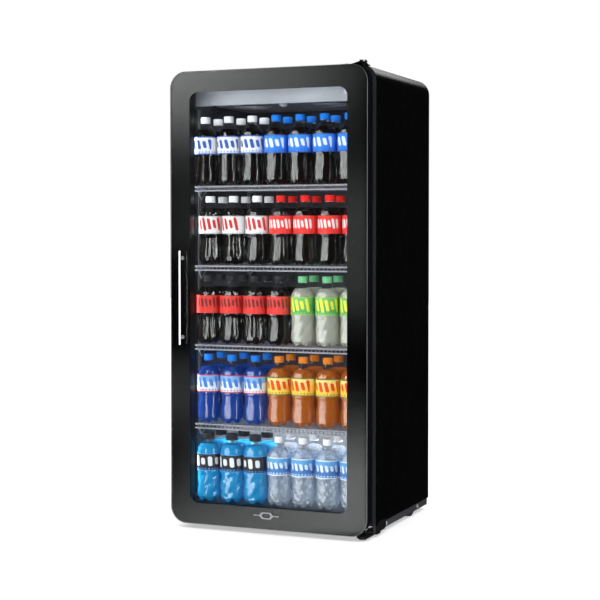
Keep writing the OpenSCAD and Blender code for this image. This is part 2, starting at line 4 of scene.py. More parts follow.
import bmesh
import bpy
import numpy as np
from mathutils import Matrix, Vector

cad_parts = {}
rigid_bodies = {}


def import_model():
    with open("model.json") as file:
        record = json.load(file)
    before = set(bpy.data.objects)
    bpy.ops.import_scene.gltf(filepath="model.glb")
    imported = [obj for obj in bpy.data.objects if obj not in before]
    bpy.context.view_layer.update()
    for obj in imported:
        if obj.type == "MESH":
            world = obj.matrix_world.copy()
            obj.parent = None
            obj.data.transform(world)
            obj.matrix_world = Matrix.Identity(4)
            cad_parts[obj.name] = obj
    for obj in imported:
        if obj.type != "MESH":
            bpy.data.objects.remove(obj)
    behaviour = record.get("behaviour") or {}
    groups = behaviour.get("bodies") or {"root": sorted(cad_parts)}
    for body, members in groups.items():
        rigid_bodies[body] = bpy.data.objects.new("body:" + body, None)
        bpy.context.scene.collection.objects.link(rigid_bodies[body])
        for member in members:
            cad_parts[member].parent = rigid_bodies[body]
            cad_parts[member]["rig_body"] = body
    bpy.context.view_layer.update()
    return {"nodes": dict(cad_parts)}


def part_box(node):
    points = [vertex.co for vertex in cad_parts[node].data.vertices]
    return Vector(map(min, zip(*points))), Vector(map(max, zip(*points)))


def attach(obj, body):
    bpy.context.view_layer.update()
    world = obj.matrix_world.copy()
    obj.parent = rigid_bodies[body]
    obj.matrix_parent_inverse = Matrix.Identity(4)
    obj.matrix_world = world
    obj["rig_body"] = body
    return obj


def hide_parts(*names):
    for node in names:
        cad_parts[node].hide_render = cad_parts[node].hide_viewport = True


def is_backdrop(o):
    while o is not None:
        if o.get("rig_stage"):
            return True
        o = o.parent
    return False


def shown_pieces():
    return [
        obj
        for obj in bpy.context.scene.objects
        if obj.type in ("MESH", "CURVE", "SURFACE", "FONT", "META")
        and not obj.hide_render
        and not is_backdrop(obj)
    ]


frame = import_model()
rng = np.random.default_rng(41)
print("frame loaded:", len(frame["nodes"]), "nodes")


# ---- shapes: each is (points, list of face arrays) ----

def box(node):
    low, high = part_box(node)
    return np.array(low), np.array(high)


# Rows of points joined to their neighbours by quads; a cap is a fan from the mean of its row
def gridShape(points, closedRows=False, closedColumns=True, capStart=False, capEnd=False):
    rows, columns = points.shape[:2]
    index = np.arange(rows * columns).reshape(rows, columns)
    ends = index[0], index[-1]
    if closedRows:
        index = np.vstack([index, index[:1]])
    if closedColumns:
        index = np.hstack([index, index[:, :1]])
    quads = np.stack([index[:-1, :-1], index[:-1, 1:], index[1:, 1:], index[1:, :-1]], -1)
    flat = points.reshape(-1, 3)
    faces = [quads.reshape(-1, 4)]
    for wanted, row, turn in ((capStart, 0, -1), (capEnd, 1, 1)):
        if wanted:
            ring = np.append(ends[row], ends[row][0])[::turn]
            middle = np.full(columns, len(flat))
            flat = np.vstack([flat, flat[ends[row]].mean(0)])
            faces.append(np.stack([middle, ring[:-1], ring[1:]], 1))
    return flat, faces


# One shape from several: points in a row, faces moved along by the points before them
def combine(shapes):
    points, faces, start = [], {}, 0
    for shapePoints, shapeFaces in shapes:
        for block in shapeFaces:
            faces.setdefault(block.shape[1], []).append(block + start)
        points.append(shapePoints)
        start += len(shapePoints)
    return np.concatenate(points), [np.concatenate(blocks) for blocks in faces.values()]


# A copy at every place, each turned about Z by its own angle first
def spread(shape, places, turns=None):
    points, faces = shape
    places = np.asarray(places, float)
    copies = np.repeat(points[None], len(places), 0)
    if turns is not None:
        cosine, sine = np.cos(turns)[:, None], np.sin(turns)[:, None]
        copies = np.stack([copies[..., 0] * cosine - copies[..., 1] * sine,
                           copies[..., 0] * sine + copies[..., 1] * cosine, copies[..., 2]], -1)
    copies = copies + places[:, None]
    shift = np.arange(len(places))[:, None, None] * len(points)
    return copies.reshape(-1, 3), [(block[None] + shift).reshape(-1, block.shape[1]) for block in faces]


# A rectangle with round corners: every corner is a quarter turn about a point set in by the radius
def roundRect(width, height, radius, steps=12):
    turn = np.linspace(0, math.pi / 2, steps + 1)
    corners = []
    for quarter, (across, up) in enumerate(((1, 1), (-1, 1), (-1, -1), (1, -1))):
        angle = turn + quarter * math.pi / 2
        centre = np.array([across * (width / 2 - radius), up * (height / 2 - radius)])
        corners.append(centre + radius * np.stack([np.cos(angle), np.sin(angle)], 1))
    return np.concatenate(corners)


# A profile of (inset, depth) pairs carried round an upright round-cornered rectangle
def ringSweep(low, high, radius, profile, steps=12):
    width, height = high[0] - low[0], high[2] - low[2]
    middle = (low + high) / 2
    rows = []
    for inset, depth in profile:
        loop = roundRect(width - 2 * inset, height - 2 * inset, max(radius - inset, 0.0008), steps)
        rows.append(np.stack([loop[:, 0] + middle[0], np.full(len(loop), depth),
                              loop[:, 1] + middle[2]], 1))
    return np.array(rows)


# A quarter circle of (inset, depth) pairs that rounds an edge from one face to the next
def roundedEdge(radius, depthStart, inward, steps=4):
    turn = np.linspace(0, math.pi / 2, steps + 1)
    return [(radius * (1 - math.sin(a)), depthStart + inward * radius * (1 - math.cos(a))) for a in turn]


# A profile of radii against heights spun about Z, its ends closed by fans
def lathe(radii, heights, segments=32, wave=None):
    angle = np.linspace(0, 2 * math.pi, segments, endpoint=False)
    radii, heights = np.asarray(radii, float)[:, None], np.asarray(heights, float)[:, None]
    reach = radii * np.ones_like(angle)[None]
    if wave is not None:
        reach = reach + wave(heights, angle[None])
    points = np.stack([reach * np.cos(angle), reach * np.sin(angle), heights + 0 * angle], -1)
    return gridShape(points, capStart=True, capEnd=True)


# Turns a shape that stands on Z so that it lies along another axis
def laid(shape, axis):
    points, faces = shape
    order = {"x": (2, 0, 1), "y": (1, 2, 0), "z": (0, 1, 2)}[axis]
    return points[:, order], faces


def moved(shape, place):
    return shape[0] + np.asarray(place, float), shape[1]


# A round bar along a flat path: circles square to the path, whose plane has the given normal
def tubeAlong(path, radius, normal, sides=8):
    path = np.asarray(path, float)
    normal = np.asarray(normal, float)
    step = np.gradient(path, axis=0)
    step /= np.linalg.norm(step, axis=1, keepdims=True)
    side = np.cross(step, normal)
    angle = np.linspace(0, 2 * math.pi, sides, endpoint=False)[None, :, None]
    reach = np.broadcast_to(np.asarray(radius, float), len(path))[:, None, None]
    points = path[:, None] + reach * (np.cos(angle) * side[:, None] + np.sin(angle) * normal)
    return gridShape(points, capStart=True, capEnd=True)


# A straight rod with domed ends: its radius near each end follows a quarter circle
def rod(start, end, radius, normal, sides=12, dome=1.0):
    start, end = np.asarray(start, float), np.asarray(end, float)
    length = np.linalg.norm(end - start)
    turn = np.linspace(0.12, math.pi / 2, 4)
    near = radius * dome * (1 - np.sin(turn))
    along = np.concatenate([near, length - near[::-1]]) / length
    radii = radius * np.concatenate([np.cos(math.pi / 2 - turn), np.cos(math.pi / 2 - turn)[::-1]])
    path = start + along[:, None] * (end - start)
    return tubeAlong(path, np.maximum(radii, radius * 0.1), normal, sides)


# A flat ring of round wire: a small circle carried round a large one
def wireRing(radius, wire, sides=8, segments=48):
    around = np.linspace(0, 2 * math.pi, segments, endpoint=False)[:, None]
    small = np.linspace(0, 2 * math.pi, sides, endpoint=False)[None]
    reach = radius + wire * np.cos(small)
    points = np.stack([reach * np.cos(around), reach * np.sin(around),
                       wire * np.sin(small) + 0 * around], -1)
    return gridShape(points, closedRows=True)


# A block with eased edges: the same round-cornered outline at four heights, drawn in at both ends
def easedBlock(low, high, radius, ease, axis="z"):
    low, high = np.asarray(low, float), np.asarray(high, float)
    order = {"x": (1, 2, 0), "y": (2, 0, 1), "z": (0, 1, 2)}[axis]
    size, middle = (high - low)[list(order)], ((low + high) / 2)[list(order)]
    rows = []
    for inset, height in ((ease, 0), (ease * 0.3, ease * 0.3), (0, ease), (0, size[2] - ease),
                          (ease * 0.3, size[2] - ease * 0.3), (ease, size[2])):
        loop = roundRect(size[0] - 2 * inset, size[1] - 2 * inset, max(radius - inset, 1e-4), 4)
        rows.append(np.column_stack([loop + middle[:2], np.full(len(loop), middle[2] - size[2] / 2 + height)]))
    points, faces = gridShape(np.array(rows), capStart=True, capEnd=True)
    back = np.argsort(order)
    return points[:, back], faces


# ---- pieces ----

def shadeWell(piece, angle=32):
    piece.data.polygons.foreach_set("use_smooth", np.ones(len(piece.data.polygons), bool))
    piece.data.set_sharp_from_angle(angle=math.radians(angle))
    weigh = piece.modifiers.new("evenNormals", "WEIGHTED_NORMAL")
    weigh.keep_sharp = True


def makePiece(name, shape, material, body="cabinet", replaces=(), uv=None, outward=True):
    points, faces = shape
    mesh = bpy.data.meshes.new(name)
    mesh.from_pydata(points.tolist(), [], [face for block in faces for face in block.tolist()])
    if uv is not None:
        layer = mesh.uv_layers.new(name="wrap")
        corner = np.empty(len(mesh.loops), np.int32)
        mesh.loops.foreach_get("vertex_index", corner)
        layer.data.foreach_set("uv", uv[corner].astype(np.float32).ravel())
    if outward:
        work = bmesh.new()
        work.from_mesh(mesh)
        bmesh.ops.recalc_face_normals(work, faces=work.faces)
        work.to_mesh(mesh)
        work.free()
    piece = bpy.data.objects.new(name, mesh)
    bpy.context.scene.collection.objects.link(piece)
    mesh.materials.append(material)
    shadeWell(piece)
    if replaces:
        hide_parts(*replaces)
    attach(piece, body)
    return piece


# A CAD node's own mesh, merged, its flat triangles joined, and every sharp edge rounded a little
def softened(node, material, width=0.0008, segments=2, angle=30):
    source = frame["nodes"][node]
    mesh = source.data.copy()
    mesh.name = node + "Soft"
    work = bmesh.new()
    work.from_mesh(mesh)
    bmesh.ops.remove_doubles(work, verts=work.verts, dist=2e-5)
    bmesh.ops.dissolve_limit(work, angle_limit=math.radians(0.5), verts=work.verts, edges=work.edges)
    bmesh.ops.recalc_face_normals(work, faces=work.faces)
    work.to_mesh(mesh)
    work.free()
    piece = bpy.data.objects.new(node + "Soft", mesh)
    bpy.context.scene.collection.objects.link(piece)
    mesh.materials.clear()
    mesh.materials.append(material)
    mesh.polygons.foreach_set("material_index", np.zeros(len(mesh.polygons), np.int32))
    ease = piece.modifiers.new("ease", "BEVEL")
    ease.width = width
    ease.segments = segments
    ease.limit_method = "ANGLE"
    ease.angle_limit = math.radians(angle)
    shadeWell(piece)
    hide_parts(node)
    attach(piece, source["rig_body"])
    return piece


# ---- materials ----

class Nodes:
    def __init__(self, material):
        material.use_nodes = True
        self.tree = material.node_tree
        self.tree.nodes.clear()
        self.output = self.tree.nodes.new("ShaderNodeOutputMaterial")

    def add(self, kind, inputs=None, **settings):
        node = self.tree.nodes.new(kind)
        for key, value in settings.items():
            setattr(node, key, value)
        for key, value in (inputs or {}).items():
            if isinstance(value, bpy.types.NodeSocket):
                self.tree.links.new(value, node.inputs[key])
            else:
                node.inputs[key].default_value = value
        return node

    def math(self, operation, first, second=None, third=None):
        inputs = {0: first}
        if second is not None:
            inputs[1] = second
        if third is not None:
            inputs[2] = third
        return self.add("ShaderNodeMath", inputs, operation=operation).outputs[0]

    def mix(self, share, first, second):
        node = self.add("ShaderNodeMix", data_type="RGBA")
        for key, value in ((0, share), (6, first), (7, second)):
            if isinstance(value, bpy.types.NodeSocket):
                self.tree.links.new(value, node.inputs[key])
            else:
                node.inputs[key].default_value = value
        return node.outputs[2]


def grey(level):
    return (level, level, level, 1)


# A surface whose colour and roughness drift with soft noise and whose grain lifts it a little
def finish(name, colour, roughness, metallic=0.0, drift=0.12, driftScale=9.0, grainScale=420.0,
           grain=0.04, stretch=(1, 1, 1), roughDrift=0.06, specular=0.5, coat=0.0, emission=0.0,
           wear=None, sheen=0.0):
    material = bpy.data.materials.new(name)
    n = Nodes(material)
    place = n.add("ShaderNodeTexCoord").outputs["Object"]
    soft = n.add("ShaderNodeTexNoise", {"Vector": place, "Scale": driftScale, "Detail": 5.0}).outputs[0]
    pulled = n.add("ShaderNodeMapping", {"Vector": place, "Scale": stretch}).outputs[0]
    fine = n.add("ShaderNodeTexNoise", {"Vector": pulled, "Scale": grainScale, "Detail": 3.0}).outputs[0]
    dark = tuple(c * (1 - drift) for c in colour) + (1,)
    light = tuple(min(c * (1 + drift), 1) for c in colour) + (1,)
    shade = n.mix(n.add("ShaderNodeMapRange", {"Value": soft, "From Min": 0.35, "From Max": 0.65}).outputs[0],
                  dark, light)
    if wear is not None:
        cells = n.add("ShaderNodeTexVoronoi", {"Vector": pulled, "Scale": grainScale * 0.35}).outputs["Color"]
        shade = n.mix(n.math("MULTIPLY", n.add("ShaderNodeSeparateColor", {0: cells}).outputs[0], 0.5),
                      shade, tuple(wear) + (1,))
    rough = n.math("ADD", n.math("MULTIPLY", n.math("SUBTRACT", fine, 0.5), roughDrift * 2),
                   n.math("ADD", n.math("MULTIPLY", n.math("SUBTRACT", soft, 0.5), roughDrift), roughness))
    lift = n.add("ShaderNodeBump", {"Height": fine, "Strength": grain, "Distance": 0.001}).outputs[0]
    shader = n.add("ShaderNodeBsdfPrincipled", {
        "Base Color": shade, "Roughness": rough, "Metallic": metallic, "Normal": lift,
        "Specular IOR Level": specular, "Coat Weight": coat, "Coat Roughness": 0.08,
        "Sheen Weight": sheen})
    if emission:
        shader.inputs["Emission Color"].default_value = tuple(colour) + (1,)
        shader.inputs["Emission Strength"].default_value = emission
    n.tree.links.new(shader.outputs[0], n.output.inputs[0])
    return material


# Thin clear sheet: light passes straight through, and Fresnel sets how much is mirrored
def clearSheet(name, tint, index=1.5, roughness=0.01, ripple=0.0, rippleScale=60.0):
    material = bpy.data.materials.new(name)
    n = Nodes(material)
    place = n.add("ShaderNodeTexCoord").outputs["Object"]
    waves = n.add("ShaderNodeTexNoise", {"Vector": place, "Scale": rippleScale, "Detail": 2.0}).outputs[0]
    lift = n.add("ShaderNodeBump", {"Height": waves, "Strength": ripple, "Distance": 0.001}).outputs[0]
    facing = n.add("ShaderNodeLayerWeight", {"Blend": 0.5, "Normal": lift}).outputs["Facing"]
    straight = ((index - 1) / (index + 1)) ** 2
    share = n.math("ADD", n.math("MULTIPLY", n.math("POWER", facing, 5.0), 1 - straight), straight)
    through = n.add("ShaderNodeBsdfTransparent", {"Color": tint + (1,)}).outputs[0]
    rough = n.math("ADD", n.math("MULTIPLY", waves, roughness * 0.5), roughness)
    mirror = n.add("ShaderNodeBsdfGlossy", {"Color": grey(1), "Roughness": rough, "Normal": lift}).outputs[0]
    both = n.add("ShaderNodeMixShader", {0: share, 1: through, 2: mirror}).outputs[0]
    n.tree.links.new(both, n.output.inputs[0])
    return material


slotFinish = {
    "gloss_black_paint": dict(colour=(0.0015, 0.0015, 0.0018), roughness=0.27, drift=0.1, grainScale=650,
                              grain=0.03, specular=0.22, roughDrift=0.02),
    "insulation_foam": dict(colour=(0.075, 0.062, 0.04), roughness=0.85, grain=0.5, grainScale=160),
    "liner_black": dict(colour=(0.11, 0.115, 0.13), roughness=0.42, grain=0.12, grainScale=900,
                        specular=0.4),
    "galvanised_steel": dict(colour=(0.5, 0.51, 0.52), roughness=0.42, metallic=0.85, grain=0.06,
                             wear=(0.62, 0.63, 0.66), grainScale=120),
    "collar_black": dict(colour=(0.03, 0.035, 0.05), roughness=0.36, specular=0.45, grain=0.03),
    "rail_steel": dict(colour=(0.06, 0.062, 0.068), roughness=0.42, grain=0.1, specular=0.4),
    "bolt_zinc": dict(colour=(0.78, 0.78, 0.77), roughness=0.3, metallic=0.35, grain=0.05, drift=0.2),
    "compressor_black": dict(colour=(0.012, 0.012, 0.013), roughness=0.38, grain=0.1, specular=0.5),
    "rubber_black": dict(colour=(0.02, 0.02, 0.021), roughness=0.62, grain=0.12, specular=0.35),
    "fin_aluminium": dict(colour=(0.72, 0.73, 0.75), roughness=0.36, metallic=0.85, grain=0.06),
    "copper_tube": dict(colour=(0.72, 0.36, 0.2), roughness=0.3, metallic=0.95, grain=0.04, drift=0.25),
    "motor_black": dict(colour=(0.03, 0.03, 0.032), roughness=0.5, grain=0.1),
    "pan_plastic": dict(colour=(0.03, 0.03, 0.03), roughness=0.55, grain=0.08),
    "grille_black": dict(colour=(0.02, 0.02, 0.021), roughness=0.45, grain=0.08),
    "header_grey": dict(colour=(0.6, 0.61, 0.68), roughness=0.4, grain=0.04, specular=0.5),
    "white_plastic": dict(colour=(0.88, 0.88, 0.9), roughness=0.3, grain=0.03, drift=0.03),
    "fan_grey": dict(colour=(0.035, 0.035, 0.038), roughness=0.42, grain=0.05),
    "led_diffuser": dict(colour=(0.02, 0.021, 0.024), roughness=0.3, grain=0.05, drift=0.1),
    "shelf_standard": dict(colour=(0.2, 0.205, 0.22), roughness=0.38, grain=0.06),
    "shelf_wire": dict(colour=(0.5, 0.5, 0.56), roughness=0.34, grain=0.08, grainScale=700, specular=0.5),
    "bracket_black": dict(colour=(0.012, 0.012, 0.013), roughness=0.4, grain=0.1, specular=0.45),
    "pin_steel": dict(colour=(0.6, 0.6, 0.62), roughness=0.22, metallic=0.95, grain=0.05,
                      stretch=(1, 1, 0.1)),
    "border_black": dict(colour=(0.0008, 0.0008, 0.0009), roughness=0.06, grain=0.0, specular=0.5,
                         roughDrift=0.01),
    "spacer_black": dict(colour=(0.01, 0.01, 0.01), roughness=0.6, grain=0.08, specular=0.3),
    "door_frame_black": dict(colour=(0.006, 0.007, 0.010), roughness=0.4, grain=0.04, specular=0.4),
    "handle_satin": dict(colour=(0.9, 0.9, 0.91), roughness=0.3, metallic=0.6, grain=0.03, drift=0.04,
                         grainScale=900, stretch=(1, 1, 0.04)),
    "badge_chrome": dict(colour=(0.82, 0.83, 0.85), roughness=0.18, metallic=0.7, grain=0.02, drift=0.05),
    "bush_nylon": dict(colour=(0.012, 0.012, 0.012), roughness=0.5, grain=0.05),
    "foot_black": dict(colour=(0.03, 0.03, 0.034), roughness=0.5, grain=0.15, specular=0.4),
}
slotMaterial = {slot: finish(slot, **settings) for slot, settings in slotFinish.items()}
paneClear = clearSheet("paneClear", (0.965, 0.975, 0.975), index=1.5)
slotMaterial["door_glass"] = paneClear
paneEdge = finish("paneEdge", (0.17, 0.185, 0.19), 0.22, grain=0.02, drift=0.2, driftScale=4, specular=0.5)
print("finishes made:", len(slotMaterial))


# ---- door ----

paneLow, paneHigh = box("outer_glass")
doorRadius = 0.050
paneFront = paneLow[1]


# A pane: flat faces, and an edge ground round with two small quarter circles
def paneShape(low, high, radius, ease):
    front = list(roundedEdge(ease, low[1], 1))
    back = list(roundedEdge(ease, high[1], -1))[::-1]
    profile = [(ease + 0.004, low[1])] + front + back + [(ease + 0.004, high[1])]
    return gridShape(ringSweep(low, high, radius, profile, 20), capStart=True, capEnd=True)


# The faces whose normal leaves the pane sideways are its ground edge
def markEdge(piece, material):
    piece.data.materials.append(material)
    normals = np.empty(len(piece.data.polygons) * 3, np.float32)
    piece.data.polygons.foreach_get("normal", normals)
    edge = np.abs(normals.reshape(-1, 3)[:, 1]) < 0.85
    piece.data.polygons.foreach_set("material_index", edge.astype(np.int32))


outerPane = makePiece("outerPane", paneShape(paneLow, paneHigh, doorRadius, 0.0013), paneClear, "door",
                      ["outer_glass"])
markEdge(outerPane, paneEdge)
innerLow, innerHigh = box("inner_glass")
innerPane = makePiece("innerPane", paneShape(innerLow, innerHigh, doorRadius - 0.008, 0.0008), paneClear,
                      "door", ["inner_glass"])
markEdge(innerPane, paneEdge)

border = dict(width=0.063, windowRadius=0.027)
borderLow, borderHigh = box("glass_border")


# A flat ring between a round-cornered outline and a smaller one, with the thickness of the enamel
def ringPlate(low, high, radius, width, innerRadius, ease):
    outer = ringSweep(low, high, radius, [(ease, low[1]), (0, low[1] + ease), (0, high[1] - ease),
                                          (ease, high[1])], 20)
    inLow, inHigh = low + np.array([width, 0, width]), high - np.array([width, 0, width])
    inner = ringSweep(inLow, inHigh, innerRadius, [(-ease, high[1]), (0, high[1] - ease),
                                                   (0, low[1] + ease), (-ease, low[1])], 20)
    return gridShape(np.concatenate([outer, inner]), closedRows=True)


borderRing = makePiece("borderRing", ringPlate(borderLow, borderHigh, doorRadius - 0.001,
                       border["width"] - 0.001, border["windowRadius"], 0.0001),
                       slotMaterial["border_black"], "door", ["glass_border"])
spacerLow, spacerHigh = box("glass_spacer")
makePiece("spacerRing", ringPlate(spacerLow, spacerHigh, doorRadius - 0.008, border["width"] - 0.009,
          border["windowRadius"] + 0.001, 0.0004), slotMaterial["spacer_black"], "door",
          ["glass_spacer"])
softened("door_frame", slotMaterial["door_frame_black"], 0.0018, 3)

gasketLow, gasketHigh = box("gasket")
gasket = dict(width=0.012, folds=3, foldDepth=0.0012)


# The gasket's section: a hollow-looking bellows, its outer wall in folds that follow a cosine
def gasketProfile(width, deep, folds, foldDepth):
    down = np.linspace(0, 1, 22)
    fold = foldDepth * 0.5 * (1 - np.cos(2 * math.pi * folds * down))
    outer = [(f, gasketLow[1] + deep * t) for f, t in zip(fold, down)]
    inner = [(width - f, gasketLow[1] + deep * t) for f, t in zip(fold[::-1], down[::-1])]
    return outer + inner


gasketRows = ringSweep(gasketLow, gasketHigh, 0.006,
                       gasketProfile(gasket["width"], gasketHigh[1] - gasketLow[1], gasket["folds"],
                                     gasket["foldDepth"]), 6)
makePiece("gasketRing", gridShape(gasketRows, closedRows=True), slotMaterial["rubber_black"], "door",
          ["gasket"])

barLow, barHigh = box("handle_bar")
handle = dict(radius=0.0031, postInset=0.022)
barX, barY = (barLow[0] + barHigh[0]) / 2, (barLow[1] + barHigh[1]) / 2
makePiece("handleRod", rod((barX, barY, barLow[2]), (barX, barY, barHigh[2]), handle["radius"],
          (0, 1, 0), 32), slotMaterial["handle_satin"], "door", ["handle_bar"])
postProfile = dict(radii=(0.0010, 0.0024, 0.0025, 0.0025, 0.0028, 0.0042, 0.0054, 0.0060, 0.0060, 0.0056),
                   along=(0.0000, 0.0004, 0.0012, 0.0130, 0.0150, 0.0162, 0.0168, 0.0175, 0.0197, 0.0200))
post = laid(lathe(postProfile["radii"], postProfile["along"], 32), "y")
postPlaces = [(barX, paneFront - 0.0200, z) for z in (barLow[2] + handle["postInset"],
                                                      barHigh[2] - handle["postInset"])]
makePiece("handlePostPair", spread(post, postPlaces), slotMaterial["handle_satin"], "door",
          ["handle_posts"])
softened("badge", slotMaterial["badge_chrome"], 0.00025, 2)
softened("hinge_bushes", slotMaterial["bush_nylon"], 0.0004)
print("door made")


# ---- cabinet skin ----

wrapLow, wrapHigh = box("outer_wrap")
wrap = dict(radius=0.048, skin=0.0012, roll=0.0011, backRoll=0.002)


# The open arch of the skin: up one side, round both upper corners, down the other
def archPath(inset, radius, steps=26):
    halfWidth = (wrapHigh[0] - wrapLow[0]) / 2 - inset
    top, foot = wrapHigh[2] - inset, wrapLow[2]
    radius = radius - inset
    turn = np.linspace(0, math.pi / 2, steps)
    right = np.stack([halfWidth - radius + radius * np.cos(turn), top - radius + radius * np.sin(turn)], 1)
    side = np.stack([np.full(8, halfWidth), np.linspace(foot, top - radius - 0.02, 8)], 1)
    half = np.concatenate([side, right])
    return np.concatenate([half, half[::-1] * np.array([-1, 1])])


turn = np.linspace(0, math.pi / 2, 6)
rollIn = [(wrap["roll"] * (1 - math.sin(a)), wrapLow[1] + wrap["roll"] * (1 - math.cos(a))) for a in turn]
rollOut = [(wrap["backRoll"] * (1 - math.sin(a)), wrapHigh[1] - wrap["backRoll"] * (1 - math.cos(a)))
           for a in turn[::-1]]
innerSkin = [(wrap["backRoll"] + wrap["skin"], wrapHigh[1] - 0.0012),
             (wrap["skin"], wrapHigh[1] - wrap["backRoll"] - 0.002),
             (wrap["skin"], wrapLow[1] + 0.0008)]
skinRows = []
for inset, depth in rollIn + [(0, y) for y in np.linspace(wrapLow[1] + 0.02, wrapHigh[1] - 0.02, 8)] \
        + rollOut + innerSkin:
    loop = archPath(inset, wrap["radius"])
    skinRows.append(np.stack([loop[:, 0], np.full(len(loop), depth), loop[:, 1]], 1))
skinRows = np.array(skinRows).transpose(1, 0, 2)
outerSkin = makePiece("outerSkin", gridShape(skinRows, capStart=True, capEnd=True),
                      slotMaterial["gloss_black_paint"], "cabinet", ["outer_wrap"])

plainNodes = {
    "front_collar": ("collar_black", 0.0012, 3), "inner_liner": ("liner_black", 0.0004, 2),
    "rear_panel": ("galvanised_steel", 0.0004, 1), "bottom_panel": ("galvanised_steel", 0.0003, 1),
    "base_rails": ("rail_steel", 0.0008, 2), "base_crossbars": ("rail_steel", 0.0006, 2),
    "lower_hinge_bracket": ("bracket_black", 0.0006, 2), "top_hinge_bracket": ("bracket_black", 0.0012, 3),
    "lower_hinge_pin": ("pin_steel", 0.0012, 3), "top_hinge_pin": ("pin_steel", 0.0012, 3),
    "header_panel": ("header_grey", 0.0006, 2), "evaporator_cover": ("header_grey", 0.0004, 2),
    "compressor": ("compressor_black", 0.0012, 2), "compressor_grommets": ("rubber_black", 0.0015, 2),
    "condenser_shroud": ("galvanised_steel", 0.0006, 2), "condenser_fan_motor": ("motor_black", 0.0015, 2),
    "condenser_fan": ("fin_aluminium", 0.0003, 1), "evap_fan_left": ("fan_grey", 0.0003, 1),
    "evap_fan_right": ("fan_grey", 0.0003, 1), "evap_fan_motors": ("motor_black", 0.0015, 2),
    "drain_pan": ("pan_plastic", 0.0006, 2), "drain_tube": ("pan_plastic", 0.0008, 2),
    "power_inlet": ("rubber_black", 0.0008, 2), "thermostat_housing": ("motor_black", 0.0012, 2),
    "thermostat_knob": ("white_plastic", 0.0008, 2), "light_switch": ("motor_black", 0.0005, 2),
    "filter_drier": ("copper_tube", 0.0008, 2),
    "pilasters": ("shelf_standard", 0.0004, 1),
}
for node, (slotName, width, segments) in plainNodes.items():
    softened(node, slotMaterial[slotName], width, segments)
slotNow = {"insulation_foam": ["foam_core"], "fin_aluminium": ["condenser_fins", "evaporator_coil"],
           "copper_tube": ["condenser_tube", "refrigerant_lines"], "pin_steel": ["closer_torsion_bar"]}
for slotName, nodes in slotNow.items():
    for node in nodes:
        frame["nodes"][node].material_slots[0].material = slotMaterial[slotName]
print("cabinet skins and machine parts made")

boltLow, boltHigh = box("rail_bolts")
bolt = dict(across=0.0058, washer=0.0060, head=0.0030)


# A hexagon bolt head: six flats above a washer, its top edge chamfered by a circle
def hexHead(across, washer, height):
    base = lathe([washer * 0.9, washer, washer, washer * 0.93], [0, 0.0002, 0.0006, 0.0009], 32)
    head = lathe([across * 0.97, across, across, across * 0.94, across * 0.82],
                 [0.0008, 0.0010, height * 0.8, height * 0.93, height], 6)
    dish = lathe([across * 0.62, across * 0.60, across * 0.5],
                 [height - 0.0002, height + 0.0004, height + 0.0006], 24)
    return combine([base, head, dish])


boltParts = []
for side, face in ((1, boltHigh[0] - 0.004), (-1, boltLow[0] + 0.004)):
    head = laid(hexHead(bolt["across"], bolt["washer"], bolt["head"]), "x")
    head = head[0] * np.array([side, 1, 1]), head[1]
    boltParts.append(spread(head, [(face, y, 0.025) for y in (boltLow[1] + 0.006, boltHigh[1] - 0.006)]))
makePiece("railBoltHeads", combine(boltParts), slotMaterial["bolt_zinc"], "cabinet", ["rail_bolts"])

screwLow, screwHigh = box("hinge_screws")
screw = dict(head=0.0055, headHeight=0.0035)
screwBase = screwHigh[2] - screw["headHeight"]
screwXs = (screwLow[0] + screw["head"], screwHigh[0] - screw["head"])
screwYs = (screwLow[1] + screw["head"], screwHigh[1] - screw["head"])
screwPlaces = [(x, y, 0) for x in screwXs for y in screwYs]
panHead = lathe([0.0052, 0.0055, 0.0055, 0.0050, 0.0040, 0.0026, 0.0022, 0.0020],
                screwBase + np.array([0, 0.0002, 0.0012, 0.0024, 0.0032, 0.0035, 0.0024, 0.0016]), 6)
shank = lathe([0.0024, 0.0029, 0.0029], [screwLow[2], screwLow[2] + 0.001, screwBase], 20)
makePiece("hingeScrewSet", combine([spread(panHead, screwPlaces), spread(shank, screwPlaces)]),
          slotMaterial["bolt_zinc"], "cabinet", ["hinge_screws"])

foot = dict(top=0.0218, sole=0.0158, teeth=18)
for name in ("foot_front_left", "foot_front_right", "foot_rear_left", "foot_rear_right"):
    footLow, footHigh = box(name)
    middle = (footLow + footHigh) / 2
    coneTop = 0.0137
    cone = lathe([foot["sole"] * 0.94, foot["sole"], foot["sole"] + 0.0006, foot["top"] - 0.0010,
                  foot["top"], foot["top"], foot["top"] - 0.0008],
                 [0, 0.0006, 0.0022, 0.0104, 0.0114, 0.0128, coneTop], foot["teeth"] * 6,
                 lambda height, angle: -0.0006 * (0.5 + 0.5 * np.cos(angle * foot["teeth"]))
                 * (height > 0.003) * (height < 0.0135))
    threadHeights = np.linspace(coneTop - 0.0005, footHigh[2], 26)
    thread = lathe(0.0055 + 0.0004 * (np.arange(26) % 2), threadHeights, 24)
    makePiece(name + "_pad", moved(combine([cone, thread]), (middle[0], middle[1], 0)),
              slotMaterial["foot_black"], name, [name])
print("fixings and feet made")

softened("rear_grille", slotMaterial["grille_black"], 0.0003, 1)

# ---- inside ----

displayLow, displayHigh = box("temperature_display")
makePiece("displayCase", easedBlock(displayLow, displayHigh, 0.002, 0.0006, "y"),
          slotMaterial["white_plastic"], "cabinet", ["temperature_display"])
stripLow, stripHigh = box("led_strips")
strip = dict(thick=0.004)
stripParts = [easedBlock((x, stripLow[1], stripLow[2]), (x + strip["thick"], stripHigh[1], stripHigh[2]),
                         0.0008, 0.0006) for x in (stripLow[0], stripHigh[0] - strip["thick"])]
makePiece("ledStripPair", combine(stripParts), slotMaterial["led_diffuser"], "cabinet",
          ["led_strips"])

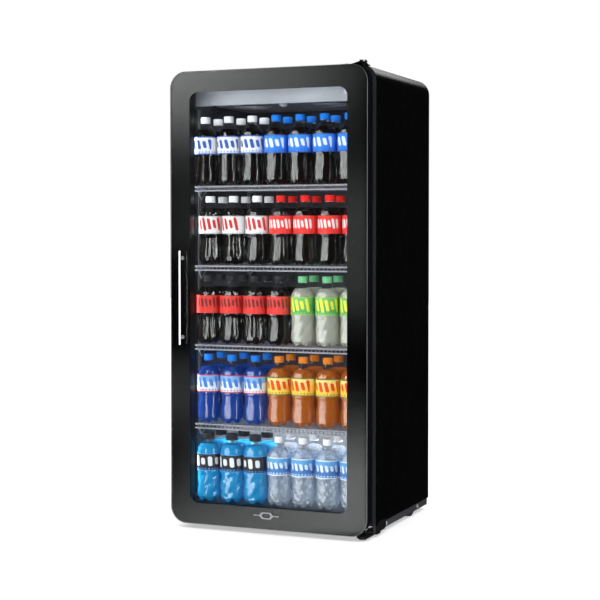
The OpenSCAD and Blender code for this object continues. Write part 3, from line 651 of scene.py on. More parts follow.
guardLow, guardHigh = box("evap_fan_guards")
guard = dict(rings=(0.013, 0.026, 0.039, 0.052), rim=0.0652, wire=0.0012, spokes=6)
guardZ = guardLow[2] + guard["wire"]
guardParts = [moved(wireRing(r, guard["wire"]), (0, 0, guardZ)) for r in guard["rings"]]
guardParts.append(moved(wireRing(guard["rim"], guard["wire"]), (0, 0, guardHigh[2] - guard["wire"] - 0.0001)))
for spoke in range(guard["spokes"]):
    angle = spoke * math.pi / 3
    out = np.array([math.cos(angle), math.sin(angle), 0])
    across = np.array([-math.sin(angle), math.cos(angle), 0])
    reach = np.array([0.0, 0.02, 0.04, 0.056, 0.060, 0.0635, 0.0652])
    drop = np.array([0, 0, 0, 0, 0.0012, 0.0045, guardHigh[2] - guardZ - guard["wire"] - 0.0003])
    path = reach[:, None] * out + np.stack([0 * drop, 0 * drop, guardZ + guard["wire"] * 1.2 + drop * 0.85], 1)
    guardParts.append(tubeAlong(path, guard["wire"] * 0.95, across, 8))
guardX = (guardHigh[0] - guardLow[0]) / 2 - 0.0665
guardY = (guardLow[1] + guardHigh[1]) / 2
makePiece("fanGuardPair", spread(combine(guardParts), [(-guardX, guardY, 0), (guardX, guardY, 0)]),
          slotMaterial["shelf_wire"], "cabinet", ["evap_fan_guards"])

shelf = dict(pitch=0.0129, wire=0.0015, lipRod=0.0024, lowRod=0.0026, edge=0.003, drop=0.0165, bend=0.004)


# One lengthwise wire: back along the shelf, then over a quarter circle and straight down at the front
def bentWire(front, back, top, drop, bend, radius):
    turn = np.linspace(0, math.pi / 2, 4)
    path = [(0, back, top - radius)]
    path += [(0, front + bend + radius - bend * math.sin(a), top - radius - bend * (1 - math.cos(a)))
             for a in turn]
    path.append((0, front + radius, top - drop))
    return tubeAlong(path, radius, (1, 0, 0), 6)


def wireShelf(name):
    low, high = box(name)
    top, front, back = high[2], low[1], high[1]
    halfX = high[0]
    count = int((2 * halfX - 2 * 0.006) / shelf["pitch"])
    places = [(-count * shelf["pitch"] / 2 + i * shelf["pitch"], 0, 0) for i in range(count + 1)]
    parts = [spread(bentWire(front, back, top, shelf["drop"], shelf["bend"], shelf["wire"]), places)]
    under = top - 2 * shelf["wire"] - shelf["edge"] + 0.0006
    for y in (front + 0.0085, (front + back) / 2, back - 0.004):
        parts.append(rod((-halfX + 0.003, y, under), (halfX - 0.003, y, under), shelf["edge"] * 0.9,
                         (0, 0, 1), 10))
    for x in (-halfX + 0.003, halfX - 0.003):
        parts.append(rod((x, front + 0.004, under), (x, back, under), shelf["edge"] * 0.95, (0, 0, 1), 10))
    return combine(parts)


# The two rods of a shelf's front lip, one under the bend and one at the wires' lower ends
def shelfLip(name):
    low, high = box(name)
    halfX, front = high[0], low[1]
    levelsZ = ((low[2] + 0.0028, 0.0033, shelf["lowRod"]), (high[2] - 0.0040, 0.0030, shelf["lipRod"]))
    return combine([rod((-halfX, front + inset, z), (halfX, front + inset, z), radius, (0, 0, 1), 12)
                    for z, inset, radius in levelsZ])


shelfNames = ["shelf_1", "shelf_2", "shelf_3", "shelf_4"]
for name in shelfNames:
    makePiece(name + "_wires", wireShelf(name), slotMaterial["shelf_wire"], name, [name])
    makePiece(name + "_lip", shelfLip(name), slotMaterial["shelf_wire"], name, [name])
print("shelves made")


clip = dict(strut=0.0016, down=0.034, spreadY=0.034, inset=0.0075)


# A clip: an eased hook block and two wire struts that splay from its foot to the shelf's side rod
def clipShape():
    parts = []
    wireTops = [box(name)[1][2] for name in shelfNames]
    standardYs = (pilasterLow[1] + 0.008, pilasterHigh[1] - 0.008)
    for top in wireTops:
        under = top - 0.0088
        for side, y in ((side, y) for side in (-1, 1) for y in standardYs):
            ends = sorted((side * 0.2600, side * 0.2738))
            parts.append(easedBlock((ends[0], y - 0.006, under - 0.003), (ends[1], y + 0.006, under),
                                    0.001, 0.0006))
            ends = sorted((side * 0.2718, side * 0.2738))
            parts.append(easedBlock((ends[0], y - 0.006, under - 0.016), (ends[1], y + 0.006, under + 0.003),
                                    0.0009, 0.0005))
            for lean in (-1, 1):
                insideX = pilasterHigh[0] - clip["inset"]
                foot = (side * insideX, y, under - clip["down"])
                head = (side * (insideX - 0.004), y + lean * clip["spreadY"], under - 0.003)
                parts.append(rod(foot, head, clip["strut"], (1, 0, 0), 8))
    return combine(parts)


pilasterLow, pilasterHigh = box("pilasters")
makePiece("shelfClipSet", clipShape(), slotMaterial["shelf_wire"], "cabinet", ["shelf_clips"])


# ---- bottles ----

bottle = dict(capLow=0.1895, labelLow=0.094, labelHigh=0.148, pitch=0.0785, rowPitch=0.088, rows=2)
bottleKinds = {
    "contour": dict(stations=(0.012, 0.030, 0.045, 0.066, 0.078, 0.090, 0.150, 0.160, 0.172, 0.180, 0.186),
                    radii=(0.0335, 0.0362, 0.0352, 0.0312, 0.0318, 0.0350, 0.0352, 0.0328, 0.0232, 0.0168, 0.0130),
                    cap=0.0149, fill=0.170,
                    pressed=(("flute", 0.045, 0.085, 12, 0.0009), ("flute", 0.152, 0.172, 8, 0.0009))),
    "faceted": dict(stations=(0.012, 0.026, 0.048, 0.070, 0.080, 0.091, 0.150, 0.162, 0.176, 0.183, 0.187),
                    radii=(0.0340, 0.0363, 0.0350, 0.0305, 0.0312, 0.0352, 0.0354, 0.0318, 0.0205, 0.0150, 0.0130),
                    cap=0.0149, fill=0.172,
                    pressed=(("flute", 0.024, 0.088, 10, 0.0016), ("flute", 0.150, 0.178, 10, 0.0014))),
    "dimpled": dict(stations=(0.012, 0.030, 0.060, 0.080, 0.091, 0.150, 0.160, 0.172, 0.181, 0.186),
                    radii=(0.0338, 0.0358, 0.0345, 0.0338, 0.0352, 0.0354, 0.0335, 0.0235, 0.0160, 0.0130),
                    cap=0.0149, fill=0.172,
                    pressed=(("dimple", 0.024, 0.086, 14, 0.0016), ("dimple", 0.152, 0.178, 12, 0.0012))),
    "ribbed": dict(stations=(0.012, 0.028, 0.050, 0.066, 0.080, 0.091, 0.150, 0.160, 0.174, 0.182, 0.187),
                   radii=(0.0340, 0.0364, 0.0356, 0.0325, 0.0330, 0.0352, 0.0354, 0.0330, 0.0215, 0.0155, 0.0130),
                   cap=0.0149, fill=0.172,
                   pressed=(("rib", 0.056, 0.088, 3, 0.0012), ("flute", 0.152, 0.174, 6, 0.0014),
                            ("flute", 0.020, 0.050, 6, 0.0012))),
    "square": dict(stations=(0.008, 0.020, 0.055, 0.080, 0.091, 0.150, 0.162, 0.174, 0.180, 0.184),
                   radii=(0.0345, 0.0362, 0.0352, 0.0350, 0.0355, 0.0356, 0.0350, 0.0275, 0.0200, 0.0180),
                   cap=0.0185, fill=0.176,
                   pressed=(("dimple", 0.016, 0.086, 10, 0.0024), ("rib", 0.150, 0.162, 2, 0.0008))),
    "crinkled": dict(stations=(0.010, 0.024, 0.050, 0.078, 0.091, 0.150, 0.160, 0.176, 0.184, 0.188),
                     radii=(0.0335, 0.0350, 0.0342, 0.0335, 0.0348, 0.0350, 0.0330, 0.0200, 0.0140, 0.0128),
                     cap=0.0140, fill=0.176,
                     pressed=(("crinkle", 0.016, 0.088, 9, 0.0018), ("crinkle", 0.152, 0.180, 9, 0.0012))),
}


# A window that is 1 between two heights and falls to 0 over 5 mm outside them
def window(height, low, high, edge=0.005):
    rise = np.clip((height - low) / edge + 0.5, 0, 1)
    fall = np.clip((high - height) / edge + 0.5, 0, 1)
    return rise * rise * (3 - 2 * rise) * fall * fall * (3 - 2 * fall)


# How far the wall is pressed in: cosine flutes, level ribs, staggered dimples or slanted creases
def pressing(pressed, height, angle):
    depth = np.zeros(np.broadcast(height, angle).shape)
    for kind, low, high, count, amount in pressed:
        share = window(height, low, high)
        level = (height - low) / (high - low)
        if kind == "flute":
            shape = 0.5 - 0.5 * np.cos(count * angle)
        elif kind == "rib":
            shape = 0.5 - 0.5 * np.cos(2 * math.pi * count * level) + 0 * angle
        elif kind == "dimple":
            shape = np.maximum(np.cos(count * angle / 2) * np.cos(math.pi * 3 * level), 0) \
                + np.maximum(np.sin(count * angle / 2) * np.sin(math.pi * 3 * level), 0)
        else:
            shape = 1 - np.abs(np.sin(count * angle / 2 + 9 * level)) \
                + 0.6 * (1 - np.abs(np.sin(count * angle / 2 - 7 * level + 1)))
        depth += share * shape * amount
    return depth


# The wall's radius at each height: straight lines between the stations, smoothed by a bell curve
def wallRadius(kind, height, inset=0.0):
    dense = np.arange(0.0, 0.2100, 0.0005)
    raw = np.interp(dense, bottleKinds[kind]["stations"], bottleKinds[kind]["radii"])
    bell = np.exp(-0.5 * (np.arange(-10, 11) / 4.0) ** 2)
    padded = np.pad(raw, 10, mode="edge")
    smooth = np.convolve(padded, bell / bell.sum(), mode="valid")
    return np.interp(height, dense, smooth) - inset


# The base is a dome between five feet: a foot's share follows a raised cosine of the angle
def baseRows(kind, segments, inset, rows=7):
    angle = np.linspace(0, 2 * math.pi, segments, endpoint=False)[None]
    out = np.linspace(0.12, 1, rows)[:, None]
    edge = wallRadius(kind, 0.014, inset)
    foot = (0.5 + 0.5 * np.cos(5 * angle)) ** 0.6
    valley = 0.0060 + 0.0080 * out ** 3
    pad = np.where(out < 0.72, 0.0060 * (1 - (out / 0.72) ** 2), 0.014 * ((out - 0.72) / 0.28) ** 2)
    height = foot * pad + (1 - foot) * valley + inset
    return np.stack([edge * out * np.cos(angle), edge * out * np.sin(angle), height], -1)


def wallRows(kind, segments, low, high, rows, inset=0.0):
    angle = np.linspace(0, 2 * math.pi, segments, endpoint=False)[None]
    height = np.linspace(low, high, rows)[:, None]
    reach = wallRadius(kind, height, inset) - pressing(bottleKinds[kind]["pressed"], height, angle)
    return np.stack([reach * np.cos(angle), reach * np.sin(angle), height + 0 * angle], -1)


# The clear shell: base, wall to the shoulder, neck and its support ring
def shellShape(kind, segments, rows):
    wide = bottleKinds[kind]["cap"] / 0.0149
    angle = np.linspace(0, 2 * math.pi, segments, endpoint=False)[None]
    neckZ = np.array([0.1872, 0.1880, 0.1884, 0.1892, 0.1896, 0.1902, 0.1925])[:, None]
    neckR = np.array([0.0130, 0.0134, 0.0162, 0.0162, 0.0132, 0.0126, 0.0124])[:, None] * wide
    neck = np.stack([neckR * np.cos(angle), neckR * np.sin(angle), neckZ + 0 * angle], -1)
    points = np.concatenate([baseRows(kind, segments, 0), wallRows(kind, segments, 0.015, 0.1862, rows), neck])
    return gridShape(points, capStart=True, capEnd=True)


# The drink fills the shell to its line and ends in a flat surface with a small raised rim
def drinkShape(kind, segments, rows):
    fill = bottleKinds[kind]["fill"]
    wall = wallRows(kind, segments, 0.016, fill, rows, 0.0007)
    rim = wall[-1:] * np.array([0.97, 0.97, 1]) - np.array([0, 0, 0.0006])
    points = np.concatenate([baseRows(kind, segments, 0.0007, 5), wall, rim])
    return gridShape(points, capStart=True, capEnd=True)


# The label: a band just outside the wall, one turn with a lapped seam, its edges a little proud
def labelShape(kind, segments=64, rows=9):
    turn = np.linspace(0, 1, segments + 1)[None]
    up = np.linspace(0, 1, rows)[:, None]
    height = bottle["labelLow"] + (bottle["labelHigh"] - bottle["labelLow"]) * up
    angle = turn * 2 * math.pi - math.pi / 2
    curl = 0.00025 * (np.abs(2 * up - 1) ** 6) + 0.0003 * turn ** 12
    reach = wallRadius(kind, height) + 0.0006 + curl
    points = np.stack([reach * np.cos(angle), reach * np.sin(angle), height + 0 * angle], -1)
    wraps = np.stack([turn + 0 * up, up + 0 * turn], -1).reshape(-1, 2)
    return gridShape(points, closedColumns=False), wraps


# The cap: a knurled wall, its ribs a cosine of the angle, a rounded top edge and a tamper band
def capShape(kind, ribs, detail):
    wide = bottleKinds[kind]["cap"]
    radii = np.array([0.93, 0.99, 0.99, 0.95, 0.95, 1.0, 1.0, 1.0, 0.985, 0.94, 0.86, 0.5]) * wide
    heights = bottle["capLow"] + np.array([0, 0.0005, 0.0032, 0.0034, 0.0040, 0.0044, 0.0100, 0.0160,
                                           0.0176, 0.0187, 0.0192, 0.0193])
    knurl = lambda height, angle: -0.00045 * (0.5 + 0.5 * np.cos(ribs * angle)) \
        * window(height, bottle["capLow"] + 0.0050, bottle["capLow"] + 0.0160, 0.002)
    return lathe(radii, heights, ribs * detail, knurl)


levels = [
    dict(floor="cabinet", z=box("inner_liner")[0][2] + 0.0012, shift=-0.004, split=3,
         left=("square", "sportBlue", "sportDark", "capBlack"),
         right=("crinkled", "water", "waterBlue", "capWhite")),
    dict(floor="shelf_1", shift=-0.003, split=3, left=("ribbed", "blueSoda", "icyBlue", "capBlue"),
         right=("ribbed", "orangeSoda", "citrus", "capOrange")),
    dict(floor="shelf_2", shift=-0.005, split=4, left=("faceted", "cola", "redDark", "capBlack"),
         right=("dimpled", "lemonade", "limeYellow", "capGreen")),
    dict(floor="shelf_3", shift=0.003, split=3, left=("faceted", "cola", "whiteRed", "capWhite"),
         right=("faceted", "cola", "redWhite", "capRed")),
    dict(floor="shelf_4", shift=-0.013, split=3, left=("contour", "cola", "whiteBlue", "capWhite"),
         right=("contour", "cola", "blueWhite", "capBlue")),
]


# A drink: clear ones pass light straight through with a tint, the others are solid colour
def drinkMaterial(name, colour, share, tint, roughness=0.25):
    material = bpy.data.materials.new(name)
    n = Nodes(material)
    place = n.add("ShaderNodeTexCoord").outputs["Object"]
    soft = n.add("ShaderNodeTexNoise", {"Vector": place, "Scale": 35.0, "Detail": 2.0}).outputs[0]
    dark = tuple(c * 0.8 for c in colour) + (1,)
    shade = n.mix(soft, dark, colour + (1,))
    body = n.add("ShaderNodeBsdfPrincipled", {"Base Color": shade, "Specular IOR Level": 0.25,
                 "Roughness": n.math("ADD", n.math("MULTIPLY", soft, 0.1), roughness)}).outputs[0]
    if share > 0:
        through = n.add("ShaderNodeBsdfTransparent", {"Color": tint + (1,)}).outputs[0]
        body = n.add("ShaderNodeMixShader", {0: share, 1: body, 2: through}).outputs[0]
    n.tree.links.new(body, n.output.inputs[0])
    return material


drinks = {
    "cola": drinkMaterial("cola", (0.0035, 0.0018, 0.0014), 0.0, (0.3, 0.1, 0.03), 0.12),
    "sportBlue": drinkMaterial("sportBlue", (0.02, 0.40, 0.78), 0.25, (0.2, 0.6, 0.95)),
    "water": drinkMaterial("water", (0.50, 0.55, 0.62), 0.62, (0.9, 0.95, 1.0)),
    "blueSoda": drinkMaterial("blueSoda", (0.008, 0.055, 0.33), 0.12, (0.1, 0.25, 0.8)),
    "orangeSoda": drinkMaterial("orangeSoda", (0.46, 0.11, 0.006), 0.1, (1.0, 0.5, 0.1)),
    "lemonade": drinkMaterial("lemonade", (0.46, 0.46, 0.39), 0.12, (0.95, 0.97, 0.85)),
}


# A label: two ground colours, a row of slanted round-ended bars of uneven height, edge bands and dots
def labelMaterial(name, ground, bars, accent, cells=16, slant=0.35, barWidth=0.30, tall=0.30, middle=0.55,
                  second=None, dots=True):
    material = bpy.data.materials.new(name)
    n = Nodes(material)
    wraps = n.add("ShaderNodeUVMap", uv_map="wrap").outputs[0]
    parts = n.add("ShaderNodeSeparateXYZ", {0: wraps})
    u, v = parts.outputs[0], parts.outputs[1]
    along = n.math("MULTIPLY", n.math("SUBTRACT", u, n.math("MULTIPLY", v, -slant / cells * 2)), cells)
    cell = n.math("FLOOR", along)
    local = n.math("SUBTRACT", n.math("FRACT", along), 0.5)
    chance = n.add("ShaderNodeTexWhiteNoise", {"W": n.math("MODULO", cell, cells / 2)},
                   noise_dimensions="1D").outputs["Value"]
    reach = n.math("MULTIPLY", n.math("ADD", n.math("MULTIPLY", chance, 0.6), 0.4), tall)
    fromMiddle = n.math("ABSOLUTE", n.math("SUBTRACT", v, middle))
    overEnd = n.math("MAXIMUM", n.math("SUBTRACT", fromMiddle, reach), 0.0)
    away = n.math("SQRT", n.math("ADD", n.math("POWER", n.math("MULTIPLY", overEnd, 3.2), 2.0),
                                 n.math("POWER", local, 2.0)))
    present = n.math("GREATER_THAN", n.math("ABSOLUTE", n.math("SUBTRACT", n.math("FRACT", n.math(
        "MULTIPLY", u, 2.0)), 0.5)), 0.12)
    bar = n.math("MULTIPLY", n.math("LESS_THAN", away, barWidth), present)
    upper = n.math("GREATER_THAN", n.math("ADD", v, n.math("MULTIPLY", n.math("SINE", n.math(
        "MULTIPLY", u, 12.566)), 0.05)), 0.62)
    colour = n.mix(upper, ground + (1,), (second or ground) + (1,))
    colour = n.mix(bar, colour, bars + (1,))
    edge = n.math("GREATER_THAN", n.math("ABSOLUTE", n.math("SUBTRACT", v, 0.5)), 0.44)
    colour = n.mix(edge, colour, accent + (1,))
    if dots:
        dotU = n.math("SUBTRACT", n.math("FRACT", n.math("MULTIPLY", u, 22.0)), 0.5)
        dotV = n.math("MULTIPLY", n.math("SUBTRACT", v, 0.13), 6.0)
        dot = n.math("LESS_THAN", n.math("ADD", n.math("POWER", dotU, 2.0), n.math("POWER", dotV, 2.0)), 0.06)
        colour = n.mix(dot, colour, accent + (1,))
    place = n.add("ShaderNodeTexCoord").outputs["Object"]
    crease = n.add("ShaderNodeTexNoise", {"Vector": place, "Scale": 90.0, "Detail": 3.0}).outputs[0]
    colour = n.mix(n.math("MULTIPLY", crease, 0.12), colour, grey(0.5))
    lift = n.add("ShaderNodeBump", {"Height": crease, "Strength": 0.12, "Distance": 0.001}).outputs[0]
    shader = n.add("ShaderNodeBsdfPrincipled", {"Base Color": colour, "Normal": lift,
                   "Roughness": n.math("ADD", n.math("MULTIPLY", crease, 0.15), 0.22)})
    n.tree.links.new(shader.outputs[0], n.output.inputs[0])
    return material


labels = {
    "whiteBlue": labelMaterial("whiteBlue", (0.85, 0.86, 0.9), (0.02, 0.09, 0.42), (0.02, 0.12, 0.5),
                               cells=12, second=(0.85, 0.86, 0.9), tall=0.22),
    "blueWhite": labelMaterial("blueWhite", (0.01, 0.2, 0.82), (0.85, 0.88, 0.95), (0.02, 0.1, 0.5),
                               cells=12, second=(0.01, 0.24, 0.88), tall=0.22),
    "whiteRed": labelMaterial("whiteRed", (0.86, 0.86, 0.87), (0.62, 0.006, 0.01), (0.6, 0.6, 0.62),
                              cells=14, tall=0.3, dots=False),
    "redWhite": labelMaterial("redWhite", (0.85, 0.02, 0.015), (0.9, 0.88, 0.88), (0.85, 0.02, 0.015),
                              cells=18, tall=0.2, dots=False),
    "redDark": labelMaterial("redDark", (0.80, 0.03, 0.02), (0.16, 0.01, 0.01), (0.80, 0.03, 0.02),
                             cells=18, tall=0.2, middle=0.6, dots=False),
    "limeYellow": labelMaterial("limeYellow", (0.10, 0.42, 0.13), (0.9, 0.9, 0.04), (0.3, 0.62, 0.1),
                                cells=14, tall=0.3, second=(0.16, 0.5, 0.14)),
    "icyBlue": labelMaterial("icyBlue", (0.75, 0.82, 0.92), (0.05, 0.2, 0.62), (0.55, 0.02, 0.05),
                             cells=12, tall=0.26, second=(0.2, 0.42, 0.8)),
    "citrus": labelMaterial("citrus", (1.0, 0.62, 0.05), (0.75, 0.04, 0.01), (0.1, 0.16, 0.03),
                            cells=12, tall=0.26, second=(0.95, 0.75, 0.2)),
    "sportDark": labelMaterial("sportDark", (0.012, 0.014, 0.02), (0.86, 0.88, 0.92), (0.05, 0.3, 0.75),
                               cells=10, tall=0.24, slant=0.1),
    "waterBlue": labelMaterial("waterBlue", (0.05, 0.2, 0.55), (0.8, 0.86, 0.95), (0.75, 0.84, 0.95),
                               cells=14, tall=0.12, second=(0.1, 0.38, 0.75)),
}
capColours = {"capBlack": (0.03, 0.032, 0.036), "capWhite": (0.82, 0.84, 0.88), "capBlue": (0.01, 0.18, 0.72),
              "capOrange": (0.68, 0.2, 0.02), "capGreen": (0.16, 0.5, 0.24), "capRed": (0.8, 0.02, 0.015)}
caps = {name: finish(name, colour, 0.32, grain=0.04, drift=0.05, grainScale=600)
        for name, colour in capColours.items()}
shellClear = clearSheet("shellClear", (0.93, 0.94, 0.95), index=1.5, roughness=0.06, ripple=0.2,
                        rippleScale=55.0)
frontY = paneFront + 0.105
glassGroup, drinkGroup = [], []
for number, level in enumerate(levels):
    ground = level["z"] if "z" in level else box(level["floor"])[1][2]
    columnsOf = {"left": range(-3, level["split"] - 3), "right": range(level["split"] - 3, 4)}
    for side, columns in columnsOf.items():
        kind, drink, label, cap = level[side]
        places = {"front": [(c * bottle["pitch"] + level["shift"], frontY, ground + 0.0002) for c in columns],
                  "rear": [(c * bottle["pitch"] + level["shift"], frontY + row * bottle["rowPitch"],
                            ground + 0.0002) for row in range(1, bottle["rows"]) for c in columns]}
        turns = {key: rng.uniform(-0.35, 0.35, len(value)) + rng.integers(0, 2, len(value)) * math.pi
                 for key, value in places.items()}
        name = "level" + str(number + 1) + side.capitalize()
        shells = combine([spread(shellShape(kind, 80, 66), places["front"], turns["front"]),
                          spread(shellShape(kind, 40, 34), places["rear"], turns["rear"])])
        fills = combine([spread(drinkShape(kind, 56, 44), places["front"], turns["front"]),
                         spread(drinkShape(kind, 32, 24), places["rear"], turns["rear"])])
        lids = combine([spread(capShape(kind, 40, 4), places["front"], turns["front"]),
                        spread(capShape(kind, 24, 2), places["rear"], turns["rear"])])
        band, wraps = labelShape(kind)
        everyPlace, everyTurn = places["front"] + places["rear"], np.concatenate([turns["front"], turns["rear"]])
        bands = spread(band, everyPlace, everyTurn)
        shellPiece = makePiece(name + "Shells", shells, shellClear, level["floor"])
        fillPiece = makePiece(name + "Drinks", fills, drinks[drink], level["floor"])
        labelPiece = makePiece(name + "Labels", bands, labels[label], level["floor"],
                               uv=np.tile(wraps, (len(everyPlace), 1)), outward=False)
        capPiece = makePiece(name + "Caps", lids, caps[cap], level["floor"])
        glassGroup.append(shellPiece)
        drinkGroup += [fillPiece, labelPiece, capPiece]
print("bottles made")


# ---- stage, lights and camera ----

floorSide = 14.0
floorMesh = bpy.data.meshes.new("studioFloor")
floorMesh.from_pydata([(-floorSide, -floorSide, 0), (floorSide, -floorSide, 0), (floorSide, floorSide, 0),
                       (-floorSide, floorSide, 0)], [], [(0, 1, 2, 3)])
floor = bpy.data.objects.new("studioFloor", floorMesh)
bpy.context.scene.collection.objects.link(floor)
floorMesh.materials.append(finish("paleFloor", (0.86, 0.86, 0.86), 0.9, drift=0.01, grain=0.0, specular=0.1,
                                  roughDrift=0.01))
floor.visible_glossy = False
floor.visible_shadow = False
floor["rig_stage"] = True

world = bpy.data.worlds.new("studio")
bpy.context.scene.world = world
world.use_nodes = True
tree = world.node_tree
tree.nodes.clear()
seen = tree.nodes.new("ShaderNodeLightPath").outputs["Is Camera Ray"]
plain = tree.nodes.new("ShaderNodeBackground")
plain.inputs[0].default_value = grey(1)
dim = tree.nodes.new("ShaderNodeBackground")
dim.inputs[0].default_value = grey(1)
dim.inputs[1].default_value = 0.012
either = tree.nodes.new("ShaderNodeMixShader")
tree.links.new(seen, either.inputs[0])
tree.links.new(dim.outputs[0], either.inputs[1])
tree.links.new(plain.outputs[0], either.inputs[2])
tree.links.new(either.outputs[0], tree.nodes.new("ShaderNodeOutputWorld").inputs[0])


# A set of pieces that one light reaches
def lightSet(name, pieces):
    group = bpy.data.collections.new(name)
    for piece in pieces:
        group.objects.link(piece)
    return group


# A softbox in a direction given by azimuth from the front (right is positive) and elevation
def softbox(name, azimuth, elevation, distance, size, radiance, receivers=None, aim=(0, 0, 0.7),
            glossy=True, blockers=None):
    turnTo, rise = math.radians(azimuth), math.radians(elevation)
    aim = np.array(aim, float)
    away = np.array([math.sin(turnTo) * math.cos(rise), -math.cos(turnTo) * math.cos(rise), math.sin(rise)])
    lamp = bpy.data.lights.new(name, "AREA")
    lamp.shape = "RECTANGLE"
    lamp.size, lamp.size_y = size
    lamp.energy = radiance * math.pi * size[0] * size[1]
    holder = bpy.data.objects.new(name, lamp)
    bpy.context.scene.collection.objects.link(holder)
    place = aim + away * distance
    back = away
    right = np.cross((0, 0, 1), back)
    right /= np.linalg.norm(right)
    up = np.cross(back, right)
    holder.matrix_world = Matrix(np.column_stack([np.column_stack([right, up, back, place]).T, [0, 0, 0, 1]]).T)
    holder.visible_camera = False
    holder.visible_glossy = glossy
    holder.visible_transmission = False
    if receivers:
        holder.light_linking.receiver_collection = receivers
    if blockers:
        holder.light_linking.blocker_collection = blockers
    return holder


# A lamp inside the cold space: a bare rectangle at a place, facing along a direction
def cellLamp(name, place, facing, size, radiance, receivers=None):
    facing = np.array(facing, float) / np.linalg.norm(facing)
    azimuth = math.degrees(math.atan2(-facing[0], facing[1]))
    elevation = math.degrees(math.asin(-facing[2]))
    return softbox(name, azimuth, elevation, 0.0, size, radiance, receivers, aim=place, glossy=False)


# A card whose brightness follows two ramps up its height, blended from its left side to its right
def gradedCard(holder, leftStops, rightStops):
    lamp = holder.data
    lamp.use_nodes = True
    tree = lamp.node_tree
    emission = next(node for node in tree.nodes if node.type == "EMISSION")
    parts = tree.nodes.new("ShaderNodeSeparateXYZ")
    tree.links.new(tree.nodes.new("ShaderNodeTexCoord").outputs["UV"], parts.inputs[0])
    sides = []
    for stops in (leftStops, rightStops):
        ramp = tree.nodes.new("ShaderNodeValToRGB")
        while len(ramp.color_ramp.elements) < len(stops):
            ramp.color_ramp.elements.new(0.5)
        for element, (place, level) in zip(ramp.color_ramp.elements, stops):
            element.position = place
            element.color = grey(level)
        tree.links.new(parts.outputs[1], ramp.inputs[0])
        sides.append(ramp.outputs[0])
    blend = tree.nodes.new("ShaderNodeMix")
    blend.data_type = "RGBA"
    tree.links.new(parts.outputs[0], blend.inputs[0])
    tree.links.new(sides[0], blend.inputs[6])
    tree.links.new(sides[1], blend.inputs[7])
    tree.links.new(blend.outputs[2], emission.inputs[0])


def named(*names):
    return [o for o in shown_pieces() if o.name in names]


shellSet = lightSet("shellSet", glassGroup)
contentSet = lightSet("contentSet", drinkGroup)
skinSet = lightSet("skinSet", [outerSkin])
borderSet = lightSet("borderSet", [borderRing])
floorSet = lightSet("floorSet", [floor])
handleSet = lightSet("handleSet", named("handleRod", "badgeSoft"))
backSet = lightSet("backSet", named("rear_panelSoft", "rear_grilleSoft", "power_inletSoft"))
bottleSet = lightSet("bottleSet", drinkGroup)
paneEdgeSet = lightSet("paneEdgeSet", named("outerPane", "innerPane"))
edgeSet = lightSet("edgeSet", named("front_collarSoft", "door_frameSoft"))
railSet = lightSet("railSet", named("base_railsSoft", "railBoltHeads", "top_hinge_pinSoft", "hingeScrewSet",
                                    "lower_hinge_bracketSoft", "top_hinge_bracketSoft")
                   + [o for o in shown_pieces() if o.name.startswith("foot_")])
headerSet = lightSet("headerSet", named("header_panelSoft", "displayCase"))
lipSet = lightSet("lipSet", [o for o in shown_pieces() if o.name.endswith("_lip")])
wireSet = lightSet("wireSet", [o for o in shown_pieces() if o.name.endswith("_wires")]
                   + named("shelfClipSet", "fanGuardPair", "pilastersSoft"))
overheadSet = lightSet("overheadSet", [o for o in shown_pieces() if o not in (outerSkin, borderRing, outerPane,
                                                                          innerPane)])

for name, energy, shadow in (("floorSun", 1.3, True), ("floorFill", 3.9, False)):
    sunLamp = bpy.data.lights.new(name, "SUN")
    sunLamp.energy = energy
    sunLamp.angle = math.radians(110)
    sunLamp.use_shadow = shadow
    sun = bpy.data.objects.new(name, sunLamp)
    bpy.context.scene.collection.objects.link(sun)
    sun.light_linking.receiver_collection = floorSet

softbox("overhead", 10, 78, 3.2, (2.6, 2.6), 0.8, overheadSet)
softbox("broadStreak", -44, 4, 3.0, (6.2, 5.0), 9.5, shellSet, blockers=floorSet)
softbox("narrowStreak", 73, 4, 3.0, (0.9, 4.0), 12.0, shellSet, blockers=floorSet)
softbox("contentFront", -24, 16, 3.0, (2.6, 2.6), 5.0, contentSet, glossy=False, blockers=bottleSet)
softbox("contentLow", -10, -14, 2.6, (2.4, 1.2), 2.4, contentSet, glossy=False, blockers=bottleSet,
        aim=(0, 0, 0.3))
softbox("contentRight", 50, 8, 3.0, (1.6, 2.4), 2.0, contentSet, glossy=False, blockers=bottleSet)
softbox("handleFront", 25, 6, 2.6, (3.6, 2.4), 4.5, handleSet)
softbox("paneRight", 66, 8, 2.6, (1.6, 2.4), 2.4, paneEdgeSet)
softbox("edgeRight", 66, 8, 2.6, (1.6, 2.4), 0.32, edgeSet)
softbox("railRight", 50, 14, 2.6, (1.6, 2.4), 3.4, railSet)
softbox("headerFront", -20, -6, 2.4, (1.6, 1.2), 6.5, headerSet, aim=(0, 0, 1.3))
softbox("wireFront", -10, 24, 2.6, (2.4, 1.6), 1.6, wireSet)
softbox("lipFront", -10, 6, 2.6, (2.4, 2.0), 3.4, lipSet, blockers=floorSet)
softbox("skinRear", 182.3, 23.3, 3.2, (1.33, 0.5), 2.0, skinSet, aim=(0.3, 0, 1.36))
softbox("skinLeft", -58, 10, 2.8, (1.4, 2.6), 1.2, skinSet)
softbox("skinRight", 82, 22, 2.6, (1.0, 2.0), 0.8, skinSet)
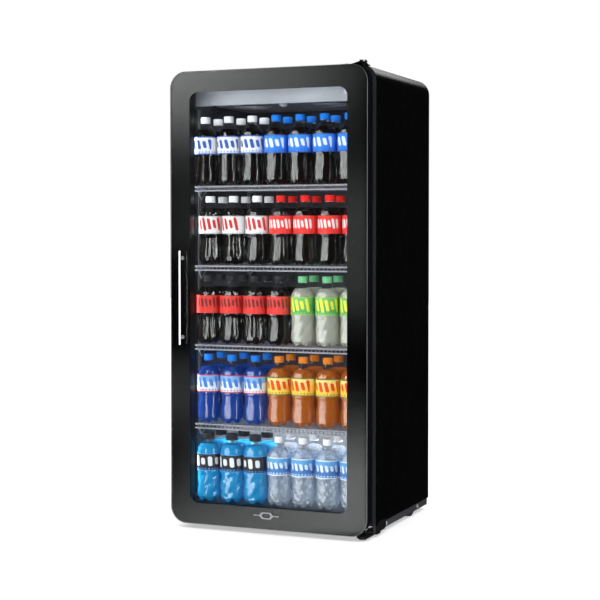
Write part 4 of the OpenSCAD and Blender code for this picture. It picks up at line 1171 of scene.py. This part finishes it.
softbox("rearCard", 150, 16, 2.8, (2.2, 2.6), 2.2, backSet)
borderCard = softbox("borderCard", -23.96, -2.5, 3.4, (1.06, 2.47), 6.7, borderSet, aim=(0, paneFront, 0.70))
gradedCard(borderCard,
           ((0.0, 0.38), (0.02, 0.31), (0.065, 0.15), (0.122, 0.045), (0.178, 0.02), (0.234, 0.06),
            (0.29, 0.139), (0.347, 0.1), (0.403, 0.0), (0.572, 0.0), (0.628, 0.05), (0.741, 0.05),
            (0.797, 0.11), (0.854, 0.34), (0.91, 0.66), (0.966, 0.93), (1.0, 1.0)),
           ((0.0, 0.65), (0.118, 0.64), (0.171, 0.45), (0.224, 0.22), (0.277, 0.05), (0.33, 0.0),
            (0.383, 0.0), (0.436, 0.025), (0.488, 0.1), (0.541, 0.155), (0.647, 0.162), (0.7, 0.15),
            (0.753, 0.095), (0.805, 0.035), (0.88, 0.02), (0.964, 0.05), (1.0, 0.08)))
insideX = stripHigh[0] - 0.01
for side in (-1, 1):
    cellLamp("stripLamp" + ("Left" if side < 0 else "Right"), (side * insideX, stripLow[1] - 0.012, 0.68),
             (-side * 0.8, 0.6, 0), (0.012, 1.16), 8.0)
lampPlan = (9.0, 1.0, 1.0, 0.8, 0.9)
for number, level in enumerate(levels):
    top = box("shelf_" + str(number + 1))[0][2] - 0.012 if number < 4 else box("evap_fan_guards")[0][2] - 0.01
    cellLamp("levelLamp" + str(number + 1), (0, -0.02, top), (0, 0.25, -1), (0.5, 0.2), lampPlan[number])

camera = bpy.data.objects.new("camera", bpy.data.cameras.new("camera"))
bpy.context.scene.collection.objects.link(camera)
camera.location = (1.7606, -4.2439, 0.8875)
camera.rotation_euler = (math.radians(88.4), 0, math.radians(22.638))
camera.data.lens = 88.5
camera.data.sensor_width = 36
camera.data.shift_y = -0.041
camera.data.clip_end = 60
bpy.context.scene.camera = camera
bpy.context.scene.view_settings.view_transform = "Standard"
bpy.context.scene.cycles.transparent_max_bounces = 28
bpy.context.scene.cycles.max_bounces = 8
print("lights and camera placed")
